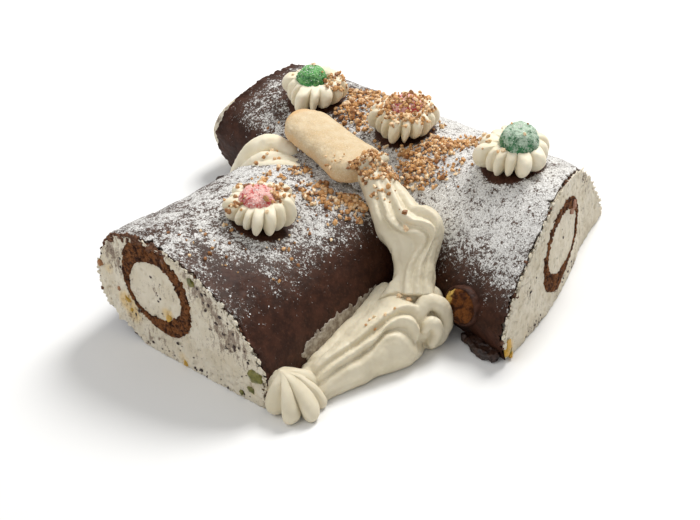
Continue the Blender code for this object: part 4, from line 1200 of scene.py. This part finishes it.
# ---------------------------------------------------------------- scattered things
def chunk_mesh(places, sizes, rng, kind="cube", flat=1.0, axes=None):
    """Joined small broken bodies: points, faces and each point's own tone."""
    if kind == "cube":
        base_v = np.array([(-1, -1, -1), (1, -1, -1), (1, 1, -1), (-1, 1, -1), (-1, -1, 1), (1, -1, 1), (1, 1, 1), (-1, 1, 1)], float) * 0.58
        base_f = np.array([(0, 3, 2, 1), (4, 5, 6, 7), (0, 1, 5, 4), (1, 2, 6, 5), (2, 3, 7, 6), (3, 0, 4, 7)])
    elif kind == "octa":
        base_v = np.array([(1, 0, 0), (-1, 0, 0), (0, 1, 0), (0, -1, 0), (0, 0, 1), (0, 0, -1)], float)
        base_f = np.array([(0, 2, 4), (2, 1, 4), (1, 3, 4), (3, 0, 4), (2, 0, 5), (1, 2, 5), (3, 1, 5), (0, 3, 5)])
    else:
        g = (1 + 5 ** 0.5) / 2
        base_v = np.array([(-1, g, 0), (1, g, 0), (-1, -g, 0), (1, -g, 0), (0, -1, g), (0, 1, g), (0, -1, -g), (0, 1, -g),
                           (g, 0, -1), (g, 0, 1), (-g, 0, -1), (-g, 0, 1)], float) / math.sqrt(1 + g * g)
        base_f = np.array([(0, 11, 5), (0, 5, 1), (0, 1, 7), (0, 7, 10), (0, 10, 11), (1, 5, 9), (5, 11, 4), (11, 10, 2),
                           (10, 7, 6), (7, 1, 8), (3, 9, 4), (3, 4, 2), (3, 2, 6), (3, 6, 8), (3, 8, 9), (4, 9, 5), (2, 4, 11),
                           (6, 2, 10), (8, 6, 7), (9, 8, 1)])
    n, m = len(places), len(base_v)
    verts = np.zeros((n, m, 3))
    for k in range(n):
        q = rng.normal(size=4)
        q /= np.linalg.norm(q)
        w, x, y, z = q
        rot = np.array([[1 - 2 * (y * y + z * z), 2 * (x * y - z * w), 2 * (x * z + y * w)],
                        [2 * (x * y + z * w), 1 - 2 * (x * x + z * z), 2 * (y * z - x * w)],
                        [2 * (x * z - y * w), 2 * (y * z + x * w), 1 - 2 * (x * x + y * y)]])
        shape = base_v * (1 + rng.uniform(-0.34, 0.34, base_v.shape)) * rng.uniform(0.7, 1.25, 3)
        p = shape @ rot.T * sizes[k]
        if axes is not None:
            # pressed flat along its own axis
            ax = axes[k]
            p = p - np.outer(p @ ax, ax) * (1 - flat)
        verts[k] = p + places[k]
    faces = (base_f[None] + (np.arange(n) * m)[:, None, None]).reshape(-1, base_f.shape[1])
    tone = np.repeat(rng.uniform(0, 1, n), m)
    return verts.reshape(-1, 3), faces, tone


RNG = np.random.default_rng(2024)
ALL = tree_of()


def scatter(clusters, rng):
    """Crumb places and sizes: clusters are (x, y, rx, ry, turn, count, lift)."""
    places, sizes, norms = [], [], []
    for x, y, rx, ry, turn, count, lift in clusters:
        c, s = math.cos(math.radians(turn)), math.sin(math.radians(turn))
        made = 0
        while made < count:
            r = math.sqrt(rng.uniform()) ** 0.9
            a = rng.uniform(0, 2 * math.pi)
            px, py = r * rx * math.cos(a), r * ry * math.sin(a)
            px, py = x + px * c - py * s + rng.normal() * 1.5, y + px * s + py * c + rng.normal() * 1.5
            made += 1
            along = (px + 6.5) * 0.588 - (py + 2.5) * 0.809
            over = (px + 6.5) * 0.809 + (py + 2.5) * 0.588
            if -39 < along < 25.5 and abs(over) < 16.5 and rng.uniform() < 0.94:
                continue
            hit = ALL.ray_cast(Vector((px, py, 200.0)), Vector((0, 0, -1)))
            if hit[0] is None or hit[0].z < 8.0 or abs(hit[1].z) < 0.30:
                continue
            size = float(np.clip(rng.lognormal(0.0, 0.34), 0.45, 1.9)) * 0.88
            extra = rng.uniform(0, lift)
            places.append((px, py, hit[0].z + size * 0.35 + extra))
            sizes.append(size)
            norms.append(tuple(hit[1]))
    return np.array(places), np.array(sizes), np.array(norms)


CLUSTERS = (
    # x, y, rx, ry, turn, count, lift
    (7, 70, 19, 12, 20, 230, 0.9), (10, 56, 14, 12, 0, 190, 0.9), (27, 60, 12, 9, 0, 80, 0.6),
    (18, 40, 8, 11, 0, 60, 0.5), (1, 40, 10, 9, 0, 40, 0.3),
    (44, 5, 16, 11, -20, 250, 1.1), (35, -8, 11, 11, 0, 150, 1.1), (57, 4, 11, 9, 0, 80, 0.5), (48, -14, 11, 8, 0, 55, 0.4),
    (34, 27, 15, 14, 0, 190, 1.0), (28, 20, 11, 9, 0, 90, 1.2), (44, 34, 12, 9, 0, 50, 0.5),
    (-5, -31, 12, 10, -20, 170, 1.1), (-14, -33, 14, 11, 0, 100, 0.5), (2, -42, 7, 9, 0, 40, 0.4),
    (8, -29, 6, 3, 25, 60, 0.9), (4, -36, 6, 4, 0, 110, 1.0), (12, -24, 7, 3, 35, 60, 0.8), (14, -31, 8, 6, 0, 60, 0.4), (17, -38, 7, 9, 0, 40, 0.3), (23, -28, 5, 7, 0, 60, 0.8),
    (-24, -13, 8, 5, 0, 34, 0.6), (-34, -20, 16, 10, 0, 34, 0.2), (-30, -48, 24, 18, 0, 44, 0.2),
    (-60, -78, 34, 24, 0, 40, 0.1), (-36.5, -56, 6, 8, 0, 40, 1.0), (-60, -66, 6, 5, 0, 22, 0.6), (-50, -44, 12, 4, 0, 16, 0.5),
    (69, 8, 5, 7, 0, 34, 1.0), (60, -20, 24, 12, 0, 26, 0.1), (-20, 80, 12, 7, 0, 18, 0.5), (-36, 52, 18, 14, 0, 12, 0.1),
    (86, -26, 13, 12, 0, 9, 0.2), (24, -58, 8, 12, 0, 5, 0.1), (16, -98, 20, 6, 38, 8, 0.1),
    (-42, 5, 10, 6, 0, 9, 0.2),
)
places, sizes, norms = scatter(CLUSTERS, RNG)
v, f, tone = chunk_mesh(places, sizes, RNG, "ico")
piece("nut_crumbs", v, f, M_CRUMB, None, smooth=False, attrs={"tone": tone}, target=False, recalc=False)

# sugar clumps lying on the coats, where the dusting is heavy
want, gp, gs, gn = 4600, [], [], []
rngs = np.random.default_rng(77)
fields = [(BRANCH_SKIN, branch_sugar, BRANCH_N), (MAIN_SKIN, main_sugar, MAIN_N)]
for skin, rule, n_ in fields:
    rows, cols = skin.shape[:2]
    length = np.linalg.norm(skin[-1].mean(0) - skin[0].mean(0))
    t = np.linspace(0, 1, rows)
    t = t - 0.5 * np.sin(2 * np.pi * t) / (2 * np.pi)
    sug = rule(skin, n_, t * length, length)
    area = np.linalg.norm(np.cross(np.gradient(skin, axis=0), np.gradient(skin, axis=1)), axis=-1)
    weight = (sug ** 2.4 * area).ravel()
    weight /= weight.sum()
    pick = rngs.choice(rows * cols, want // 2, p=weight)
    jitter = rngs.normal(size=(len(pick), 3)) * 0.5
    nrm = n_.reshape(-1, 3)[pick]
    jitter -= nrm * (jitter * nrm).sum(1)[:, None]
    sz = np.clip(rngs.lognormal(-1.15, 0.35, len(pick)), 0.14, 0.75)
    gp.append(skin.reshape(-1, 3)[pick] + jitter + nrm * 0.05)
    gs.append(sz)
    gn.append(nrm)
v, f, tone = chunk_mesh(np.vstack(gp), np.concatenate(gs), rngs, "octa", 0.6, np.vstack(gn))
piece("sugar_clumps", v, f, M_SUGAR, None, smooth=False, target=False, recalc=False)

# sugar crystals on the jelly sweets
gp, gs = [], []
for name, v_, f_ in TARGETS:
    if name.startswith("jelly_"):
        top = v_[v_[:, 2] > np.percentile(v_[:, 2], 12)]
        pick = rngs.choice(len(top), 300)
        gp.append(top[pick] + rngs.normal(size=(300, 3)) * 0.06)
        gs.append(np.clip(rngs.lognormal(-1.55, 0.25, 300), 0.12, 0.32))
v, f, tone = chunk_mesh(np.vstack(gp), np.concatenate(gs), rngs, "cube")
M_CRYSTAL = plain("sugar_crystal", lin(236, 236, 230), lin(250, 250, 246), 900, 0.3, 0.6, 0.0001)
piece("sugar_crystals", v, f, M_CRYSTAL, None, smooth=False, target=False, recalc=False)


# candied fruit and chocolate bits in the cut faces
def pressed(name, mat, spots_, seed, flat=0.55):
    rng = np.random.default_rng(seed)
    pl, sz, ax = [], [], []
    for where, size, direction in spots_:
        pl.append(where)
        sz.append(size)
        d = np.array(direction, float)
        ax.append(d / np.linalg.norm(d))
    vv, ff, tt = chunk_mesh(np.array(pl, float), np.array(sz, float), rng, "ico", flat, np.array(ax))
    vv[:, 2] = np.maximum(vv[:, 2], 0.02)
    return piece(name, vv, ff, mat, None, smooth=True, sharp=35, target=False, recalc=False)


BF = (math.sin(math.radians(-42.1)), -math.cos(math.radians(-42.1)), 0.0)
MF = (math.sin(math.radians(63.0)), -math.cos(math.radians(63.0)), 0.0)
rngb = np.random.default_rng(5)
pressed("candied_green", M_CANDY_GREEN,
        [(on_branch(31, 61.0, 0.8), 2.6, BF), (on_branch(73.5, 20.5, 0.8), 5.0, BF), (on_branch(69, 9, 0.8), 2.4, BF),
         (on_branch(62, 3.5, 0.8), 2.0, BF), (on_main(2.5, 5.0, 0.9), 2.2, MF)], 8)
pressed("candied_yellow", M_CANDY_YELLOW,
        [(on_branch(-19, 26, 0.6), 2.0, BF), (on_branch(22, 2.8, 0.8), 2.4, BF), (on_branch(12, 28, 0.7), 2.2, BF),
         (on_main(0.5, 8.5, 0.9), 4.2, MF), (on_main(3.5, 2.5, 0.9), 2.8, MF), (on_branch(-17, 20, 0.6), 1.6, BF)], 9)
pressed("candied_orange", M_CANDY_ORANGE,
        [(on_branch(-38.0, 42, 0.4), 2.5, BF), (on_branch(-25, 30, 0.6), 1.5, BF)], 10)
pressed("sponge_curl", M_CURL, [(on_main(84.5, 46.5, 1.0), 4.0, MF), (on_main(82.5, 44.0, 0.9), 2.6, MF)], 11)

def within(section, s, z, by=2.4):
    """True inside a section's outline, moved in."""
    line = inset(arch(section, 200), by, 120)
    a, b = line, np.roll(line, -1, axis=0)
    cross = (a[:, 1] > z) != (b[:, 1] > z)
    at = a[:, 0] + (z - a[:, 1]) * (b[:, 0] - a[:, 0]) / np.where(b[:, 1] == a[:, 1], 1e-9, b[:, 1] - a[:, 1])
    return int((cross & (s < at)).sum()) % 2 == 1


chips = []
for s0, z0, spread, count in ((48, 43, 9, 16), (59, 35, 9, 16), (40, 53, 7, 10), (-26, 50, 7, 10), (-14, 18, 8, 8),
                              (6, 43, 9, 7), (20, 12, 16, 8), (66, 22, 8, 8), (0, 3, 12, 9), (30, 2.5, 14, 10), (55, 2, 12, 8)):
    for _ in range(count):
        s, z = s0 + rngb.normal() * spread * 0.6, z0 + rngb.normal() * spread * (0.6 if z0 > 5 else 0.12)
        if z > 0.6 and within(BRANCH_FACE, s, z):
            chips.append((on_branch(s, z, 0.35 + rngb.uniform(0, 0.4)), rngb.uniform(0.35, 1.15), BF))
for s0, z0, spread, count in ((114, 45, 7, 12), (64, 5, 22, 12), (98, 3, 16, 10), (60, 36, 8, 3), (24, 32, 10, 6), (30, 3, 14, 8)):
    for _ in range(count):
        s, z = s0 + rngb.normal() * spread * 0.6, z0 + rngb.normal() * spread * (0.5 if z0 > 6 else 0.1)
        if z > 0.6 and within(MAIN_RIGHT, s, z):
            chips.append((on_main(s, z, 0.35 + rngb.uniform(0, 0.4)), rngb.uniform(0.3, 0.95), MF))
pressed("chocolate_chips", M_DARK, chips, 12, 0.5)

# crumbs of coat along the cut rims
rim = []
for outline, section, face, put in ((arch(BRANCH_FACE, 400), BRANCH_FACE, BF, on_branch), (arch(MAIN_RIGHT, 400), MAIN_RIGHT, MF, on_main)):
    inn = inset(outline, 1.6, 400)
    for _ in range(34):
        k0 = rngb.integers(10, 390)
        if put is on_main and inn[k0][0] > 92:
            continue
        for _ in range(rngb.integers(1, 9)):
            k = int(np.clip(k0 + rngb.normal() * 5, 4, 395))
            if put is on_main and inn[k][0] > 84:
                continue
            s, z = inn[k] + rngb.normal(size=2) * 0.8
            if z > 0.6:
                rim.append((put(s, z, rngb.uniform(-1.2, 0.2)), float(np.clip(rngb.lognormal(-0.45, 0.5), 0.25, 1.7)), face))
# the thick crumbly corner where the rolled sponge meets the coat
for _ in range(150):
    s = rngb.uniform(-34, 16)
    z = np.interp(s, [-34, -26, -20, -8, 4, 16], [57, 64, 66.5, 69.5, 69, 66.5]) + rngb.normal() * 1.0
    rim.append((on_branch(s, z, rngb.uniform(-0.6, 0.4)), float(np.clip(rngb.lognormal(-0.1, 0.45), 0.4, 2.3)), BF))
M_RIM = plain("coat_crumb", lin(70, 42, 28), lin(120, 82, 58), 500, 0.7, 0.3, 0.0006)
pressed("coat_crumbs", M_RIM, rim, 14, 0.8)


flecks = []
for outline, face, put, first, last, count in ((arch(BRANCH_FACE, 400), BF, on_branch, 205, 392, 120), (arch(MAIN_RIGHT, 400), MF, on_main, 8, 190, 90)):
    line = inset(outline, 1.2, 400)
    for _ in range(count):
        k = int(rngb.integers(first, last))
        s, z = line[k] + rngb.normal(size=2) * 0.7
        if z > 1.2:
            flecks.append((put(s, z, rngb.uniform(-0.3, 0.7)), float(np.clip(rngb.lognormal(-0.05, 0.40), 0.5, 1.9)), face))
pressed("cream_flecks", M_FACE, flecks, 16, 0.6)

# ---------------------------------------------------------------- broken coat at the front foot
def broken(name, node, centre, bearing, size, seed, replaces=None):
    rows, cols = 40, 60
    b_ = math.radians(bearing)
    a = np.linspace(0, 2 * np.pi, cols, endpoint=False)
    grid = []
    for k in range(rows):
        q = math.pi * (k + 0.5) / rows
        along = -math.cos(q) * size[0] / 2
        w = size[1] / 2 * math.sin(q) ** 0.5
        h = size[2] * math.sin(q) ** 0.4
        x = w * np.sign(np.cos(a)) * np.abs(np.cos(a)) ** 0.6
        z = h * (0.5 + 0.5 * np.sign(np.sin(a)) * np.abs(np.sin(a)) ** 0.6)
        grid.append(np.column_stack([centre[0] + along * math.cos(b_) - x * math.sin(b_),
                                     centre[1] + along * math.sin(b_) + x * math.cos(b_), centre[2] + z]))
    grid = np.array(grid)
    d = np.stack([fbm(n_, grid / 4.5 + seed, 3) for n_ in (N1, N3, N4)], -1)
    step_ = np.stack([fbm(n_, grid / 9.0 + seed, 1) for n_ in (N2, N1, N3)], -1)
    grid = grid + d * 1.7 + np.round(step_ * 3) / 3 * 1.3
    grid[..., 2] = np.maximum(grid[..., 2], 0.05)
    v, f = capped(grid)
    return piece(name, v, f, M_DARK, replaces, sharp=28)


broken("broken_coat", None, (66.0, -98.0, 0.0), -52.0, (27.0, 7.5, 5.4), 2.0, ("chocolate_shard",))
broken("coat_flake_left", None, (-76.0, 58.0, 0.0), 60.0, (14.0, 5.0, 10.0), 5.0)

# thin smear of cream on the branch's wall, above the base strip
def finer(grid, by):
    r, c = grid.shape[:2]
    rr, cc = np.linspace(0, r - 1, (r - 1) * by + 1), np.linspace(0, c - 1, (c - 1) * by + 1)
    i, j = np.minimum(rr.astype(int), r - 2), np.minimum(cc.astype(int), c - 2)
    fr, fc = (rr - i)[:, None, None], (cc - j)[None, :, None]
    g = grid
    return ((g[i][:, j] * (1 - fr) + g[i + 1][:, j] * fr) * (1 - fc) + (g[i][:, j + 1] * (1 - fr) + g[i + 1][:, j + 1] * fr) * fc)


cols = slice(225, 296)
skin, out_n = BRANCH_SKIN[30:106, cols], BRANCH_N[30:106, cols]
skin, out_n = finer(skin, 3), finer(out_n, 3)
centre_z = np.interp(skin[..., 0], [-27, -12, -2, 8, 16], [17.5, 19.0, 20.0, 20.0, 19.0])
width = np.interp(skin[..., 0], [-29, -25, -12, -4, 0, 4, 13, 17], [0.0, 6.0, 7.0, 5.0, 4.0, 5.5, 6.0, 0.0])
gap = 1 - np.abs(skin[..., 2] - centre_z + 2.4 * fbm(N3, skin / 5.0, 2)) / np.maximum(width + 3.0 * fbm(N1, skin / 3.4, 3), 0.2)
cover = step(0.0, 0.25, gap) * step(0.0, 2.0, width)
lift = -0.45 + cover * (0.85 + 0.35 * fbm(N2, skin / 1.6, 3))
top, bottom = skin + out_n * lift[..., None], skin - out_n * 1.1
r, c = top.shape[:2]
half = r * c
i, k = np.arange(c - 1), np.arange(r - 1)
faces = np.vstack([quads(r, c, False), quads(r, c, False)[:, ::-1] + half]
                  + [np.stack([row * c + i, row * c + i + 1, row * c + i + 1 + half, row * c + i + half], 1) for row in (0, r - 1)]
                  + [np.stack([k * c + col, (k + 1) * c + col, (k + 1) * c + col + half, k * c + col + half], 1) for col in (0, c - 1)])
piece("cream_smear", np.vstack([top.reshape(-1, 3), bottom.reshape(-1, 3)]), faces, M_FILM, None)

# ---------------------------------------------------------------- floor, light, camera
bm = bmesh.new()
bmesh.ops.create_grid(bm, x_segments=1, y_segments=1, size=4.0)
fm = bpy.data.meshes.new("floor")
bm.to_mesh(fm)
bm.free()
floor = bpy.data.objects.new("floor", fm)
bpy.context.scene.collection.objects.link(floor)
floor.location.z = -0.0002
m = Mat("floor_pale", rough=0.9, spec=0.1)
m.set("Base Color", lin(240, 240, 239))
fm.materials.append(m.mat)


def area(name, place_, aim, size, energy, colour=(1, 1, 1)):
    data = bpy.data.lights.new(name, "AREA")
    data.shape = "DISK"
    data.size = size
    data.energy = energy
    data.color = colour
    obj = bpy.data.objects.new(name, data)
    bpy.context.scene.collection.objects.link(obj)
    obj.location = place_
    obj.rotation_euler = (Vector(aim) - Vector(place_)).to_track_quat("-Z", "Y").to_euler()


area("key", (0.50, 0.60, 1.10), (0, 0, 0.03), 0.60, 17.5, (1.0, 0.99, 0.975))
area("fill", (-0.9, -0.5, 1.2), (0, 0, 0.03), 1.2, 6.2, (1.0, 1.0, 1.0))

world = bpy.data.worlds.new("studio")
bpy.context.scene.world = world
world.use_nodes = True
world.node_tree.nodes["Background"].inputs["Color"].default_value = (1, 1, 1, 1)
world.node_tree.nodes["Background"].inputs["Strength"].default_value = 0.43
bpy.context.scene.view_settings.view_transform = "Standard"
bpy.context.scene.view_settings.look = "None"
bpy.context.scene.view_settings.exposure = 0.0
bpy.context.scene.view_settings.gamma = 1.0

RADIUS, TILT, ROLL = 0.160, math.radians(37.09), math.radians(-2.42)
FAR = 7.742 * RADIUS
cam = bpy.data.cameras.new("camera")
cam.sensor_width = 36.0
cam.lens = 2200 / 700 * 36
cam.clip_start, cam.clip_end = 0.05, 50
camera = bpy.data.objects.new("camera", cam)
bpy.context.scene.collection.objects.link(camera)
spot = Vector((-0.006 * RADIUS, -0.082 * RADIUS - FAR * math.cos(TILT), FAR * math.sin(TILT))) + Vector(SHIFT * 0.001)
camera.matrix_world = Matrix.Translation(spot) @ Matrix.Rotation(math.pi / 2 - TILT, 4, "X") @ Matrix.Rotation(ROLL, 4, "Z")
bpy.context.scene.camera = camera
